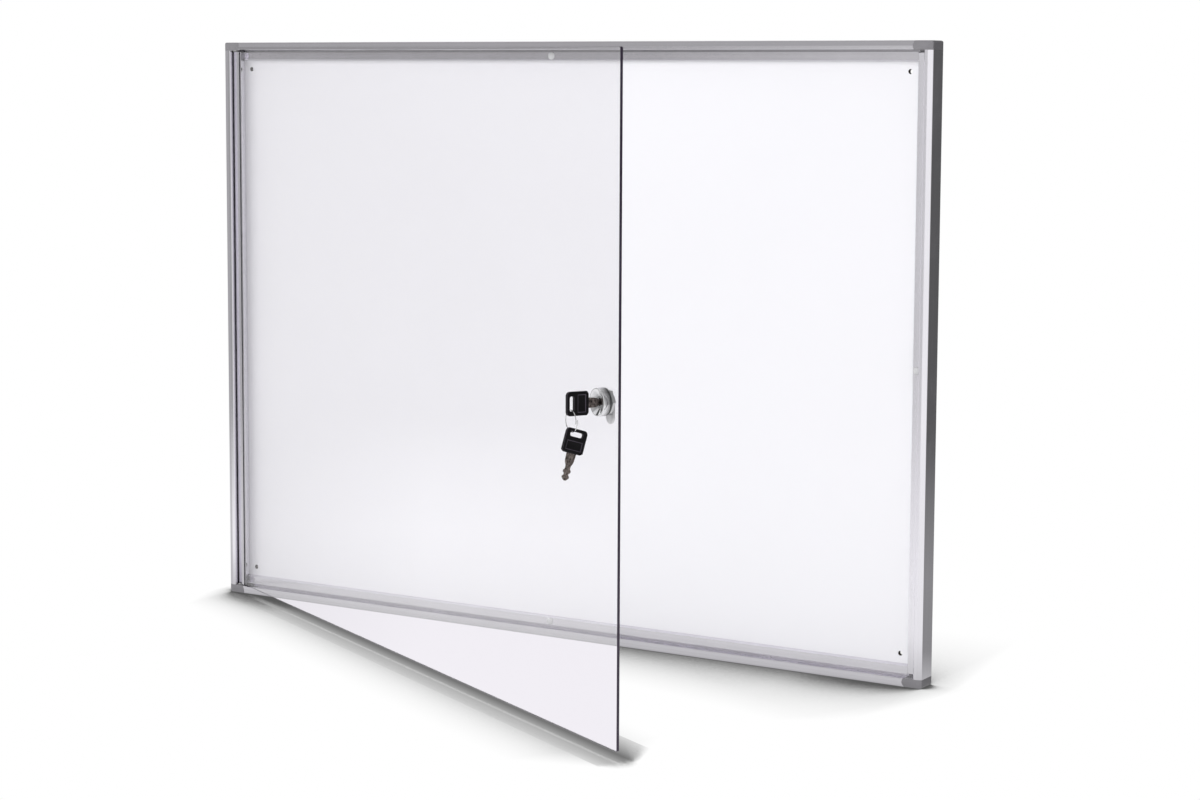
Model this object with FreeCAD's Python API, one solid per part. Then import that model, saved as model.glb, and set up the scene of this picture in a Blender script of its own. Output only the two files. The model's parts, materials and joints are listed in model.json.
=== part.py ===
import FreeCAD, Part
import math
import os

# Lockable wall notice board: a slim aluminium frame round a magnetic panel, with a clear hinged
# door, a cam lock, its key, and a spare key on a wire ring. Millimetres.
# X runs along the width, +Y points at the wall, +Z is up. The origin is the centre of the four
# wall-fixing holes, on the rear face of the panel.
# "out" is a distance in front of the wall, "inset" one from an outer edge towards the middle.

# Case
WIDTH = 970.0
HEIGHT = 700.0
DEPTH = 28.0
HALF_W = WIDTH / 2
HALF_H = HEIGHT / 2

# Panel, held in the groove of the frame
PANEL_BACK = 5.0
PANEL_FRONT = 11.0
PANEL_GAP = 1.0
STEEL_THICKNESS = 0.5
BACK_THICKNESS = 0.5
WALL_HOLE_R = 2.75
WALL_HOLE_X = 452.0
WALL_HOLE_Z = 317.0

# Frame extrusion, as insets and outs
WALL = 1.5
LIP_WIDTH = 9.6
LIP_CREASE = 5.6
LIP_DROP = 2.1
LIP_NOSE = 0.6
LIP_EDGE = 0.6
LIP_EDGE_OUT = 0.5
EDGE_R = 1.2
SHELF_IN = 12.3
SHELF_OUT = 21.0
SHELF_FOOT = 22.3
SHELF_TOP = 17.2
SHELF_WALL = 1.4
SHELF_STEP = 1.2
GROOVE_WALL = 10.0
REAR_LEG = 17.0
REAR_CHAMBER_END = 8.6
LIP_CHAMBER_END = 8.3

# Corner caps
CAP_CHORD = HALF_W - SHELF_OUT
CAP_BASE = HALF_H - 10.0
CAP_BULGE = 2.0
CAP_CORNER_R = 3.0
CAP_GAP = 0.15
CAP_SHELL = 2.0
CAP_SIDE_SHELL = 3.0
CAP_POCKET = 14.0
TONGUE = 18.0
TONGUE_GAP = 0.1
SHELF_NOTCH = 3.0
SCREW_R = 1.45
SCREW_HEAD_R = 2.75
SCREW_LENGTH = 9.3
SCREW_INSET = 5.05
SCREW_ALONG = 9.0
SCREW_GAP = 0.05
SCREW_TIP_GAP = 0.3
SCREW_SINK = 1.4
CROSS_HALF_L = 1.4
CROSS_HALF_W = 0.3
CROSS_DEPTH = 1.0

# Door, drawn shut and then opened
DOOR_ANGLE = 27.8
HINGE_X = -471.8
HINGE_OUT = 20.5
DOOR_END = 474.0
DOOR_HALF_H = 338.5
SHEET = 3.0
SHEET_CORNER_R = 2.0
KNUCKLE_R = 2.9
CHANNEL_DEPTH = 14.0
CHANNEL_RISE = 8.2
CHANNEL_NOSE = 0.5
CHANNEL_SLOT = 3.8
CHANNEL_FLOOR = 4.6
SHEET_START = 5.0
STRIP_END = 13.5
PIN_R = 1.25
PIN_FIT = 0.02
PIN_RUNNING = 0.05
PIN_LOW = 326.0
PIN_HIGH = 345.0
PIN_TIP = 0.4
BUSH_R = 2.75
BUSH_GAP = 0.05
BUSH_FLANGE_R = 3.5
BUSH_HIGH = 346.0

# Door bumpers on the shelf
BUMPER_R = 4.25
BUMPER_RISE = 1.6
BUMPER_EDGE = 0.4
BUMPER_INSET = 16.5

# Cam lock
LOCK_X = 449.0
SHEET_BACK = HINGE_OUT - SHEET / 2
SHEET_FRONT = HINGE_OUT + SHEET / 2
LOCK_HOLE_R = 8.25
WASHER = 0.5
WASHER_INSET = 0.3
WASHER_SPREAD = 0.8
WASHER_FIT = 0.1
BARREL_R = 8.0
BARREL_BACK = 15.5
BEZEL_R = 14.0
BEZEL_FRONT = 31.6
BEZEL_EDGE = 0.8
BEZEL_STEP = 0.4
BEZEL_FOOT = 0.8
BEZEL_FLARE = 1.4
DISH_R = 12.6
DISH_FLOOR_R = 6.6
PLUG_FACE = 28.0
PLUG_R = 5.75
PLUG_RUNNING = 0.05
PLUG_BACK = 15.2
PLUG_EDGE = 0.3
TAIL_R = 4.0
TAIL_FLAT = 3.5
TAIL_BACK = 11.9
NUT_FLAT = 11.0
NUT_BACK = 15.8
CAM_WIDTH = 14.0
CAM_REACH = 22.0
CAM_BACK = 13.25
CAM_NUT_FLAT = 5.5
FIT = 0.03
WAFER = 0.8
WAFER_HALF_W = 3.0
WAFER_R = 5.6
WAFER_OUTS = (26.0, 23.4, 20.8, 18.2)
WAFER_GAP = 0.05
STRIKE_HALF = 23.0
CAM_NUT_PROUD = 0.05

# Keys
KEY_THICKNESS = 1.9
KEYWAY_W = 2.3
KEYWAY_HALF = 4.1
KEY_TIP_HALF = 2.6
TIP_GAP = 0.2
HEAD_NEAR = 40.9
HEAD_LENGTH = 24.0
HEAD_HALF = 11.7
HEAD_THICKNESS = 3.0
HEAD_CORNER_R = 4.0
HEAD_CHAMFER_OUT = 1.8
HEAD_CHAMFER_SIDE = 2.6
SLOT_FROM_FAR = 5.5
SLOT_HALF_W = 2.3
SLOT_HALF_L = 7.25
SLOT_CORNER_R = 2.0
RECESS_NEAR = 3.3
RECESS_FAR = 12.0
RECESS_HALF = 8.5
RECESS_DEPTH = 0.3
TANG = 11.0
TANG_HALF = 4.2
TANG_GAP = 0.05
BLADE_LENGTH = 26.5
# Grooves of the blade: nearest and furthest distance from the grip, half height
NECK_GROOVE = (2.0, 9.0, 1.7)
TIP_GROOVE = (11.0, BLADE_LENGTH + 1, 0.6)
GROOVE_DEPTH = 0.35

# Key ring
WIRE_R = 0.5
RING_R = 10.6
RING_TURNS = 1.061
RING_PITCH = 1.7
RING_DROP = 16.4
SPARE_TILT = 16.5
SPARE_SHIFT = 5.7
SPARE_HANG = 1.4


def vec(x, out, z):
    """A point from its place along the width, its distance in front of the wall and its height."""
    return FreeCAD.Vector(x, PANEL_BACK - out, z)


OUTWARD = FreeCAD.Vector(0, -1, 0)
UP = FreeCAD.Vector(0, 0, 1)
HINGE_FOOT = vec(HINGE_X, HINGE_OUT, 0)
LOCK_FOOT = vec(LOCK_X, 0, 0)


def trace(start, steps, place):
    """A closed wire from start. A step is a point, or a middle point and an end point of an arc."""
    edges = []
    here = start
    for step in list(steps) + [start]:
        if isinstance(step[0], tuple):
            middle, there = step
            edges.append(Part.Arc(place(*here), place(*middle), place(*there)).toShape())
        else:
            there = step
            if there != here:
                edges.append(Part.makeLine(place(*here), place(*there)))
        here = there
    return Part.Wire(edges)


def slab(wires, along):
    """The region inside the first wire and outside the others, extruded along a vector."""
    face = Part.makeFace(list(wires), "Part::FaceMakerBullseye")
    return face.extrude(along)


def box(x, out, z):
    """A box from pairs of low and high places."""
    size = [high - low for low, high in (x, out, z)]
    return Part.makeBox(size[0], size[1], size[2], vec(x[0], out[1], z[0]))


def post(x, out, low, high, radius):
    """An upright cylinder."""
    return Part.makeCylinder(radius, high - low, vec(x, out, low), UP)


def rod(x, z, back, front, radius):
    """A cylinder that runs straight out from the wall."""
    return Part.makeCylinder(radius, front - back, vec(x, back, z), OUTWARD)


def rounded(half_x, half_z, radius, place):
    """A rectangle with rounded corners, drawn round the origin of place."""
    cut = radius * (1 - math.sqrt(0.5))
    steps = []
    for sign_x, sign_z in ((1, 1), (-1, 1), (-1, -1), (1, -1)):
        beside = (sign_x * half_x, sign_z * (half_z - radius))
        above = (sign_x * (half_x - radius), sign_z * half_z)
        middle = (sign_x * (half_x - cut), sign_z * (half_z - cut))
        first, last = (beside, above) if sign_x == sign_z else (above, beside)
        steps += [first, (middle, last)]
    return trace(steps[0], steps[1:], place)


def turned(outline):
    """An outline of radii and outs, turned round the lock's axis."""
    wire = trace(outline[0], outline[1:], lambda radius, out: vec(LOCK_X + radius, out, 0))
    return Part.Face(wire).revolve(LOCK_FOOT, OUTWARD, 360)


def lip_steps():
    """The outer side of the extrusion from the crease of its lip round to its back."""
    front = DEPTH - LIP_DROP
    bow = EDGE_R * (1 - math.sqrt(0.5))
    nose = LIP_NOSE * (1 - math.sqrt(0.5))
    return [(LIP_CREASE, DEPTH), (LIP_NOSE, front), ((nose, front - nose), (0, front - LIP_NOSE)),
            (0, EDGE_R), ((bow, bow), (EDGE_R, 0))]


def placer(side):
    """Where a point of a frame member's section goes, for its inset, out and place along."""
    return {
        "top_rail": lambda inset, out, along: vec(along, out, HALF_H - inset),
        "bottom_rail": lambda inset, out, along: vec(along, out, inset - HALF_H),
        "left_stile": lambda inset, out, along: vec(inset - HALF_W, out, along),
        "right_stile": lambda inset, out, along: vec(HALF_W - inset, out, along),
    }[side]


def rectangle(low_u, low_v, high_u, high_v, place):
    """A rectangle between two opposite corners."""
    return trace((low_u, low_v), [(high_u, low_v), (high_u, high_v), (low_u, high_v)], place)


# Hollow chambers of the extrusion: low inset, low out, high inset, high out
REAR_CHAMBER = (WALL, WALL, REAR_CHAMBER_END, PANEL_FRONT)
LIP_CHAMBER = (WALL, PANEL_FRONT + SHELF_WALL, LIP_CHAMBER_END, DEPTH - LIP_DROP - WALL)
SHELF_CHAMBER = (SHELF_IN + SHELF_STEP, PANEL_FRONT + SHELF_WALL, SHELF_OUT - SHELF_WALL,
                 SHELF_TOP - SHELF_WALL)


def extrusion(side, half_length):
    """One length of the frame's hollow section: lip, shelf for the door, groove for the panel."""
    place = placer(side)
    floor = PANEL_FRONT + SHELF_WALL
    leg = REAR_LEG - WALL
    start = (EDGE_R, 0)
    steps = [(REAR_LEG, 0), (REAR_LEG, PANEL_BACK), (leg, PANEL_BACK), (leg, WALL),
             (GROOVE_WALL, WALL), (GROOVE_WALL, PANEL_FRONT), (SHELF_FOOT, PANEL_FRONT),
             (SHELF_OUT, SHELF_TOP), (SHELF_IN, SHELF_TOP), (SHELF_IN, floor), (LIP_WIDTH, floor),
             (LIP_WIDTH, DEPTH - LIP_EDGE_OUT), (LIP_WIDTH - LIP_EDGE, DEPTH)] + lip_steps()
    at_end = lambda inset, out: place(inset, out, -half_length)
    wires = [trace(start, steps, at_end)]
    wires += [rectangle(*chamber, at_end) for chamber in (REAR_CHAMBER, LIP_CHAMBER, SHELF_CHAMBER)]
    return slab(wires, place(0, 0, half_length) - place(0, 0, -half_length))


def cap_plan(side_x, side_z, gap):
    """The outline of a corner cap seen from the front, let out by a gap on its inner sides."""
    place = lambda x, z: vec(side_x * x, 0, side_z * z)
    inner = CAP_CHORD - gap
    low = CAP_BASE - gap
    middle = (CAP_BASE + HALF_H) / 2
    tight = CAP_CORNER_R * (1 - math.sqrt(0.5))
    steps = [((inner - CAP_BULGE, middle), (inner, HALF_H)), (HALF_W - CAP_CORNER_R, HALF_H),
             ((HALF_W - tight, HALF_H - tight), (HALF_W, HALF_H - CAP_CORNER_R)), (HALF_W, low)]
    return trace((inner, low), steps, place)


def cap_screw_places(side_x, side_z):
    """Where the two rear screws of a corner go in: one in the rail, one in the stile."""
    rail = (side_x * (CAP_CHORD - SCREW_ALONG), side_z * (HALF_H - SCREW_INSET))
    stile = (side_x * (HALF_W - SCREW_INSET), side_z * (CAP_BASE - SCREW_ALONG))
    return rail, stile


def countersink(x, z, gap):
    """The cone and shank of a countersunk screw in the rear wall of the frame."""
    cone = Part.makeCone(SCREW_HEAD_R + gap, SCREW_R + gap, SCREW_SINK, vec(x, 0, z), OUTWARD)
    return cone.fuse(rod(x, z, 0, SCREW_LENGTH + gap, SCREW_R + gap))


def rail(side):
    """A top or bottom rail, hollowed at its ends for the caps."""
    side_z = 1 if side == "top_rail" else -1
    shape = extrusion(side, CAP_CHORD - CAP_GAP)
    for side_x in (-1, 1):
        shape = shape.cut(slab([cap_plan(side_x, side_z, CAP_GAP)], OUTWARD * DEPTH))
        x, z = cap_screw_places(side_x, side_z)[0]
        shape = shape.cut(countersink(x, z, SCREW_GAP))
    return shape


def stile(side):
    """A left or right stile. Its shelf stops short of the caps, and its slope short of the rails."""
    side_x = 1 if side == "right_stile" else -1
    place = placer(side)
    shape = extrusion(side, CAP_BASE)
    for side_z in (-1, 1):
        ends = sorted((side_z * (CAP_BASE - SHELF_NOTCH), side_z * (CAP_BASE + 1)))
        edges = sorted((place(LIP_WIDTH, 0, 0).x, place(SHELF_FOOT + 1, 0, 0).x))
        shape = shape.cut(box(edges, (PANEL_FRONT, SHELF_TOP + 1), ends))
        flank = sorted((place(SHELF_OUT, 0, 0).x, place(SHELF_FOOT + 1, 0, 0).x))
        ends = sorted((side_z * (HALF_H - SHELF_FOOT - CAP_GAP), side_z * (CAP_BASE + 1)))
        shape = shape.cut(box(flank, (PANEL_FRONT, SHELF_TOP + 1), ends))
        x, z = cap_screw_places(side_x, side_z)[1]
        shape = shape.cut(countersink(x, z, SCREW_GAP))
    if side == "right_stile":
        low_inset, low, high_inset, high = SHELF_CHAMBER
        edges = sorted((place(high_inset - 0.2, 0, 0).x, place(SHELF_FOOT, 0, 0).x))
        shape = shape.cut(box(edges, (low, high), (-STRIKE_HALF, STRIKE_HALF)))
    return shape


def crown(place, start, end):
    """The frame's outer profile, filled to the middle, as a bar that trims a cap."""
    reach = 2 * REAR_LEG
    steps = [(reach, 0), (reach, DEPTH)] + lip_steps()
    wire = trace((EDGE_R, 0), steps, lambda inset, out: place(inset, out, start))
    return slab([wire], place(0, 0, end) - place(0, 0, start))


def tongue(chamber, place, start, end):
    """A plug that slides into one chamber of the extrusion."""
    low_u, low_v, high_u, high_v = chamber
    gap = TONGUE_GAP
    wire = rectangle(low_u + gap, low_v + gap, high_u - gap, high_v - gap,
                     lambda inset, out: place(inset, out, start))
    return slab([wire], place(0, 0, end) - place(0, 0, start))


def corner_cap(side_x, side_z):
    """One moulded corner: faceted front, rear pocket, and tongues into the rail and the stile."""
    rail_place = placer("top_rail" if side_z > 0 else "bottom_rail")
    stile_place = placer("right_stile" if side_x > 0 else "left_stile")
    cap = slab([cap_plan(side_x, side_z, 0)], OUTWARD * DEPTH)
    cap = cap.common(crown(rail_place, side_x * (HALF_W + 1), side_x * (CAP_CHORD - 5)))
    cap = cap.common(crown(stile_place, side_z * (HALF_H + 1), side_z * (CAP_BASE - 5)))
    pocket_x = sorted((side_x * (CAP_CHORD + CAP_SIDE_SHELL), side_x * (HALF_W - CAP_SIDE_SHELL)))
    pocket_z = sorted((side_z * (CAP_BASE + CAP_SHELL), side_z * (HALF_H - CAP_SHELL)))
    cap = cap.cut(box(pocket_x, (-1, CAP_POCKET), pocket_z))
    rail_ends = (side_x * (CAP_CHORD - TONGUE), side_x * (CAP_CHORD + CAP_SHELL))
    stile_ends = (side_z * (CAP_BASE - TONGUE), side_z * (CAP_BASE + 1))
    for chamber in (REAR_CHAMBER, LIP_CHAMBER):
        cap = cap.fuse(tongue(chamber, rail_place, *rail_ends))
    for chamber in (REAR_CHAMBER, LIP_CHAMBER, SHELF_CHAMBER):
        cap = cap.fuse(tongue(chamber, stile_place, *stile_ends))
    for x, z in cap_screw_places(side_x, side_z):
        cap = cap.cut(rod(x, z, 0, SCREW_LENGTH + SCREW_TIP_GAP, SCREW_R + SCREW_GAP))
    if side_x < 0:
        ends = sorted((side_z * (CAP_BASE - 1), side_z * (BUSH_HIGH + BUSH_GAP)))
        cap = cap.cut(post(HINGE_X, HINGE_OUT, ends[0], ends[1], BUSH_R + BUSH_GAP))
    return cap.removeSplitter()


def corner_screws():
    """The eight countersunk screws that hold the caps from the back."""
    screws = []
    for side_x in (-1, 1):
        for side_z in (-1, 1):
            for x, z in cap_screw_places(side_x, side_z):
                screw = countersink(x, z, 0)
                for wide, tall in ((CROSS_HALF_L, CROSS_HALF_W), (CROSS_HALF_W, CROSS_HALF_L)):
                    screw = screw.cut(box((x - wide, x + wide), (-1, CROSS_DEPTH), (z - tall, z + tall)))
                screws.append(screw)
    return Part.makeCompound(screws)


def panel_layer(back, front):
    """One layer of the panel, with its four wall-fixing holes."""
    half_x = HALF_W - GROOVE_WALL - PANEL_GAP
    half_z = HALF_H - GROOVE_WALL - PANEL_GAP
    layer = box((-half_x, half_x), (back, front), (-half_z, half_z))
    for x in (-WALL_HOLE_X, WALL_HOLE_X):
        for z in (-WALL_HOLE_Z, WALL_HOLE_Z):
            layer = layer.cut(rod(x, z, back - 1, front + 1, WALL_HOLE_R))
    return layer


def bumper(x, z):
    """A clear dome that the shut door rests on."""
    edge = SHELF_TOP + BUMPER_EDGE
    top = SHELF_TOP + BUMPER_RISE
    rise = BUMPER_RISE - BUMPER_EDGE
    ball = (BUMPER_R ** 2 + rise ** 2) / (2 * rise)
    half = BUMPER_R / 2
    bow = top - (ball - math.sqrt(ball ** 2 - half ** 2))
    place = lambda radius, out: vec(x + radius, out, z)
    wire = trace((0, SHELF_TOP), [(BUMPER_R, SHELF_TOP), (BUMPER_R, edge), ((half, bow), (0, top))], place)
    return Part.Face(wire).revolve(vec(x, 0, z), OUTWARD, 360)


def bumpers():
    """One bumper at the middle of each rail and one at the lock."""
    shelf_z = HALF_H - BUMPER_INSET
    places = ((0, shelf_z), (0, -shelf_z), (HALF_W - BUMPER_INSET, -4.0))
    return Part.makeCompound([bumper(x, z) for x, z in places])


def hinge_bush(side_z):
    """A flanged bush, pressed into a left cap, that the hinge pin turns in."""
    flange = sorted((side_z * (CAP_BASE - 1), side_z * CAP_BASE))
    body = sorted((side_z * CAP_BASE, side_z * BUSH_HIGH))
    bush = post(HINGE_X, HINGE_OUT, flange[0], flange[1], BUSH_FLANGE_R)
    bush = bush.fuse(post(HINGE_X, HINGE_OUT, body[0], body[1], BUSH_R))
    bore = sorted((side_z * (CAP_BASE - 2), side_z * (BUSH_HIGH + 1)))
    return bush.cut(post(HINGE_X, HINGE_OUT, bore[0], bore[1], PIN_R + PIN_RUNNING))


def on_door(reach, away, z=0.0):
    """A point of the shut door from its distance to the hinge axis and to the sheet's middle."""
    return vec(HINGE_X + reach, HINGE_OUT + away, z)


def hinge_profile():
    """The full-height hinge profile: a bored knuckle and a channel that grips the sheet."""
    low = -DOOR_HALF_H
    half_slot = CHANNEL_SLOT / 2
    steps = [(CHANNEL_RISE, KNUCKLE_R), (CHANNEL_DEPTH, half_slot + CHANNEL_NOSE),
             (CHANNEL_DEPTH, half_slot), (CHANNEL_FLOOR, half_slot), (CHANNEL_FLOOR, -half_slot),
             (CHANNEL_DEPTH, -half_slot),
             (CHANNEL_DEPTH, -KNUCKLE_R), (0, -KNUCKLE_R), ((-KNUCKLE_R, 0), (0, KNUCKLE_R))]
    outline = trace((0, KNUCKLE_R), steps, lambda reach, away: on_door(reach, away, low))
    profile = slab([outline], UP * (2 * DOOR_HALF_H))
    return profile.cut(post(HINGE_X, HINGE_OUT, low - 1, DOOR_HALF_H + 1, PIN_R + PIN_FIT))


def hinge_pin(side_z):
    """A steel pin, fixed in the profile, that turns in the bush."""
    shoulder = side_z * (PIN_HIGH - PIN_TIP)
    low, high = sorted((side_z * PIN_LOW, shoulder))
    pin = post(HINGE_X, HINGE_OUT, low, high, PIN_R)
    tip = Part.makeCone(PIN_R, PIN_R - PIN_TIP, PIN_TIP, vec(HINGE_X, HINGE_OUT, shoulder), UP * side_z)
    return pin.fuse(tip)


def glazing_strips():
    """The two thin strips between the sheet and the sides of the channel."""
    strips = []
    for side in (-1, 1):
        away = sorted((HINGE_OUT + side * SHEET / 2, HINGE_OUT + side * CHANNEL_SLOT / 2))
        strips.append(box((HINGE_X + SHEET_START, HINGE_X + STRIP_END), away, (-DOOR_HALF_H, DOOR_HALF_H)))
    return Part.makeCompound(strips)


def door_sheet():
    """The clear sheet, bored for the lock."""
    middle = (HINGE_X + SHEET_START + DOOR_END) / 2
    half = (DOOR_END - HINGE_X - SHEET_START) / 2
    wire = rounded(half, DOOR_HALF_H, SHEET_CORNER_R, lambda x, z: vec(middle + x, SHEET_BACK, z))
    sheet = slab([wire], OUTWARD * SHEET)
    return sheet.cut(rod(LOCK_X, 0, SHEET_BACK - 1, SHEET_FRONT + 1, LOCK_HOLE_R))


def hexagon(flat, back, front, bore):
    """A bored hexagonal nut round the lock's axis."""
    corner = flat / math.cos(math.pi / 6)
    points = [(corner * math.cos(i * math.pi / 3), corner * math.sin(i * math.pi / 3)) for i in range(6)]
    wire = trace(points[0], points[1:], lambda x, z: vec(LOCK_X + x, back, z))
    nut = slab([wire], OUTWARD * (front - back))
    return nut.cut(rod(LOCK_X, 0, back - 1, front + 1, bore))


def ring_plate(back, front, outer, inner):
    """A flat washer round the lock's axis."""
    return rod(LOCK_X, 0, back, front, outer).cut(rod(LOCK_X, 0, back - 1, front + 1, inner))


def lock_housing():
    """The lock's body: a bright bezel with a conical dish, and the barrel through the sheet."""
    seat = SHEET_FRONT + WASHER
    bore = PLUG_R + PLUG_RUNNING
    rim = BEZEL_FRONT
    step = BEZEL_STEP
    bow = BEZEL_EDGE * (1 - math.sqrt(0.5))
    return turned([(bore, BARREL_BACK), (BARREL_R - step, BARREL_BACK), (BARREL_R, BARREL_BACK + step),
                   (BARREL_R, seat), (BEZEL_R - step, seat), (BEZEL_R - step, seat + BEZEL_FOOT),
                   (BEZEL_R, seat + BEZEL_FLARE), (BEZEL_R, rim - BEZEL_EDGE),
                   ((BEZEL_R - bow, rim - bow), (BEZEL_R - BEZEL_EDGE, rim)),
                   (DISH_R, rim), (DISH_FLOOR_R, PLUG_FACE), (bore, PLUG_FACE)])


def block(half_x, back, front, half_z):
    """A box centred on the lock's axis."""
    return box((LOCK_X - half_x, LOCK_X + half_x), (back, front), (-half_z, half_z))


def double_d(back, front, radius, flat):
    """A round bar with two flats, round the lock's axis."""
    return rod(LOCK_X, 0, back, front, radius).common(block(flat, back - 1, front + 1, radius + 1))


def lock_plug():
    """The plug that the key turns: keyway, wafer slots and the tail that carries the cam."""
    plug = turned([(0, PLUG_BACK), (PLUG_R, PLUG_BACK), (PLUG_R, PLUG_FACE - PLUG_EDGE),
                   (PLUG_R - PLUG_EDGE, PLUG_FACE), (0, PLUG_FACE)])
    plug = plug.fuse(double_d(TAIL_BACK, PLUG_BACK + 0.5, TAIL_R, TAIL_FLAT))
    tip = HEAD_NEAR - BLADE_LENGTH - TIP_GAP
    plug = plug.cut(block(KEYWAY_W / 2, PLUG_BACK, PLUG_FACE + 1, KEYWAY_HALF))
    plug = plug.cut(block(KEYWAY_W / 2, tip, PLUG_BACK + 1, KEY_TIP_HALF))
    reach = WAFER / 2 + WAFER_GAP
    for out in WAFER_OUTS:
        plug = plug.cut(block(WAFER_HALF_W + WAFER_GAP, out - reach, out + reach, PLUG_R + 1))
    return plug


def lock_wafers():
    """The four wafers, held level with the plug by the key that runs through their windows."""
    wafers = []
    for out in WAFER_OUTS:
        ends = (out - WAFER / 2, out + WAFER / 2)
        plate = rod(LOCK_X, 0, *ends, WAFER_R).common(block(WAFER_HALF_W, *ends, WAFER_R))
        wafers.append(plate.cut(block(KEYWAY_W / 2 + WAFER_GAP, *ends, KEYWAY_HALF)))
    return Part.makeCompound(wafers)


def cam():
    """The cam: a flat finger with a rounded tip. It points down when the door is unlocked."""
    half = CAM_WIDTH / 2
    low = half - CAM_REACH
    steps = [((0, half), (half, 0)), (half, low), ((0, -CAM_REACH), (-half, low))]
    wire = trace((-half, 0), steps, lambda x, z: vec(LOCK_X + x, CAM_BACK, z))
    plate = slab([wire], OUTWARD * (PLUG_BACK - CAM_BACK))
    return plate.cut(double_d(CAM_BACK - 1, PLUG_BACK + 1, TAIL_R + FIT, TAIL_FLAT + FIT))


def key_head():
    """The moulded grip of a key that stands in the lock, with its slot and shallow panels."""
    far = HEAD_NEAR + HEAD_LENGTH
    half_t = HEAD_THICKNESS / 2
    side = lambda out, z: vec(LOCK_X - half_t, out, z)
    near_z = HEAD_HALF - HEAD_CHAMFER_SIDE
    far_z = HEAD_HALF - HEAD_CORNER_R
    tight = HEAD_CORNER_R * (1 - math.sqrt(0.5))
    steps = [(HEAD_NEAR + HEAD_CHAMFER_OUT, HEAD_HALF), (far - HEAD_CORNER_R, HEAD_HALF),
             ((far - tight, HEAD_HALF - tight), (far, far_z)), (far, -far_z),
             ((far - tight, tight - HEAD_HALF), (far - HEAD_CORNER_R, -HEAD_HALF)),
             (HEAD_NEAR + HEAD_CHAMFER_OUT, -HEAD_HALF), (HEAD_NEAR, -near_z)]
    slot_out = far - SLOT_FROM_FAR
    slot = rounded(SLOT_HALF_W, SLOT_HALF_L, SLOT_CORNER_R, lambda a, z: side(slot_out + a, z))
    outline = trace((HEAD_NEAR, near_z), steps, side)
    head = slab([outline, slot], FreeCAD.Vector(HEAD_THICKNESS, 0, 0))
    for face_x in (LOCK_X - half_t, LOCK_X + half_t):
        panel = box((face_x - RECESS_DEPTH, face_x + RECESS_DEPTH),
                    (HEAD_NEAR + RECESS_NEAR, HEAD_NEAR + RECESS_FAR), (-RECESS_HALF, RECESS_HALF))
        head = head.cut(panel)
    half = KEY_THICKNESS / 2 + TANG_GAP
    socket = box((LOCK_X - half, LOCK_X + half), (HEAD_NEAR - 1, HEAD_NEAR + TANG + TANG_GAP),
                 (-TANG_HALF - TANG_GAP, TANG_HALF + TANG_GAP))
    return head.cut(socket)


def blade_edge():
    """Half of a key blade's outline: distance from the grip towards the tip, and half height."""
    return [(0, 5.0), (7.0, 4.7), (9.5, 4.0), (12.0, 2.6), (15.0, 2.5), (16.6, 3.9), (18.4, 3.9),
            (19.8, 2.3), (21.2, 2.3), (22.4, 3.7), (23.8, 3.6), (25.6, 1.9), (BLADE_LENGTH, 0.8)]


def key_blade():
    """The flat blade of a key that stands in the lock, cut alike on both edges."""
    half = KEY_THICKNESS / 2
    upper = [(-TANG, TANG_HALF), (0, TANG_HALF)] + blade_edge()
    outline = upper + [(along, -height) for along, height in reversed(upper)]
    place = lambda along, z: vec(LOCK_X - half, HEAD_NEAR - along, z)
    blade = slab([trace(outline[0], outline[1:], place)], FreeCAD.Vector(KEY_THICKNESS, 0, 0))
    for face_x in (LOCK_X - half, LOCK_X + half):
        sides = (face_x - GROOVE_DEPTH, face_x + GROOVE_DEPTH)
        for start, end, tall in (NECK_GROOVE, TIP_GROOVE):
            blade = blade.cut(box(sides, (HEAD_NEAR - end, HEAD_NEAR - start), (-tall, tall)))
    return blade


SLOT_OUT = HEAD_NEAR + HEAD_LENGTH - SLOT_FROM_FAR


def ring_point(angle):
    """A point of the ring's wire and its direction there, for an angle from the top."""
    climb = RING_PITCH / (2 * math.pi)
    point = vec(LOCK_X + RING_R * math.sin(angle), SLOT_OUT + climb * (angle - 1.5 * math.pi),
                RING_R * math.cos(angle) - RING_DROP)
    heading = FreeCAD.Vector(RING_R * math.cos(angle), -climb, -RING_R * math.sin(angle))
    return point, heading.normalize()


def tangent_arc(start, heading, end):
    """The arc from start, in the direction of heading, to end."""
    chord = end - start
    turn = heading.getAngle(chord)
    corner = start + heading * (chord.Length / 2 / math.cos(turn))
    lift = corner - (start + chord * 0.5)
    middle = start + chord * 0.5 + lift * (math.tan(turn / 2) / math.tan(turn))
    return Part.Arc(start, middle, end).toShape()


def ring_path():
    """The ring's wire as pairs of tangent arcs, a quarter turn to a pair."""
    sweep = RING_TURNS * 2 * math.pi
    first = math.pi / 2 - (sweep - 2 * math.pi) / 2
    pairs = math.ceil(sweep / (math.pi / 2))
    edges = []
    for i in range(pairs):
        start, heading = ring_point(first + sweep * i / pairs)
        end, leaving = ring_point(first + sweep * (i + 1) / pairs)
        across = end - start
        both = heading + leaving
        spread = 2 * (1 - heading.dot(leaving))
        along = across.dot(both)
        reach = (math.sqrt(along ** 2 + spread * across.dot(across)) - along) / spread
        middle = (start + heading * reach + end - leaving * reach) * 0.5
        edges.append(tangent_arc(start, heading, middle))
        edges.append(tangent_arc(end, leaving * -1, middle))
    return Part.Wire(Part.__sortEdges__(edges)), first


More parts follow.
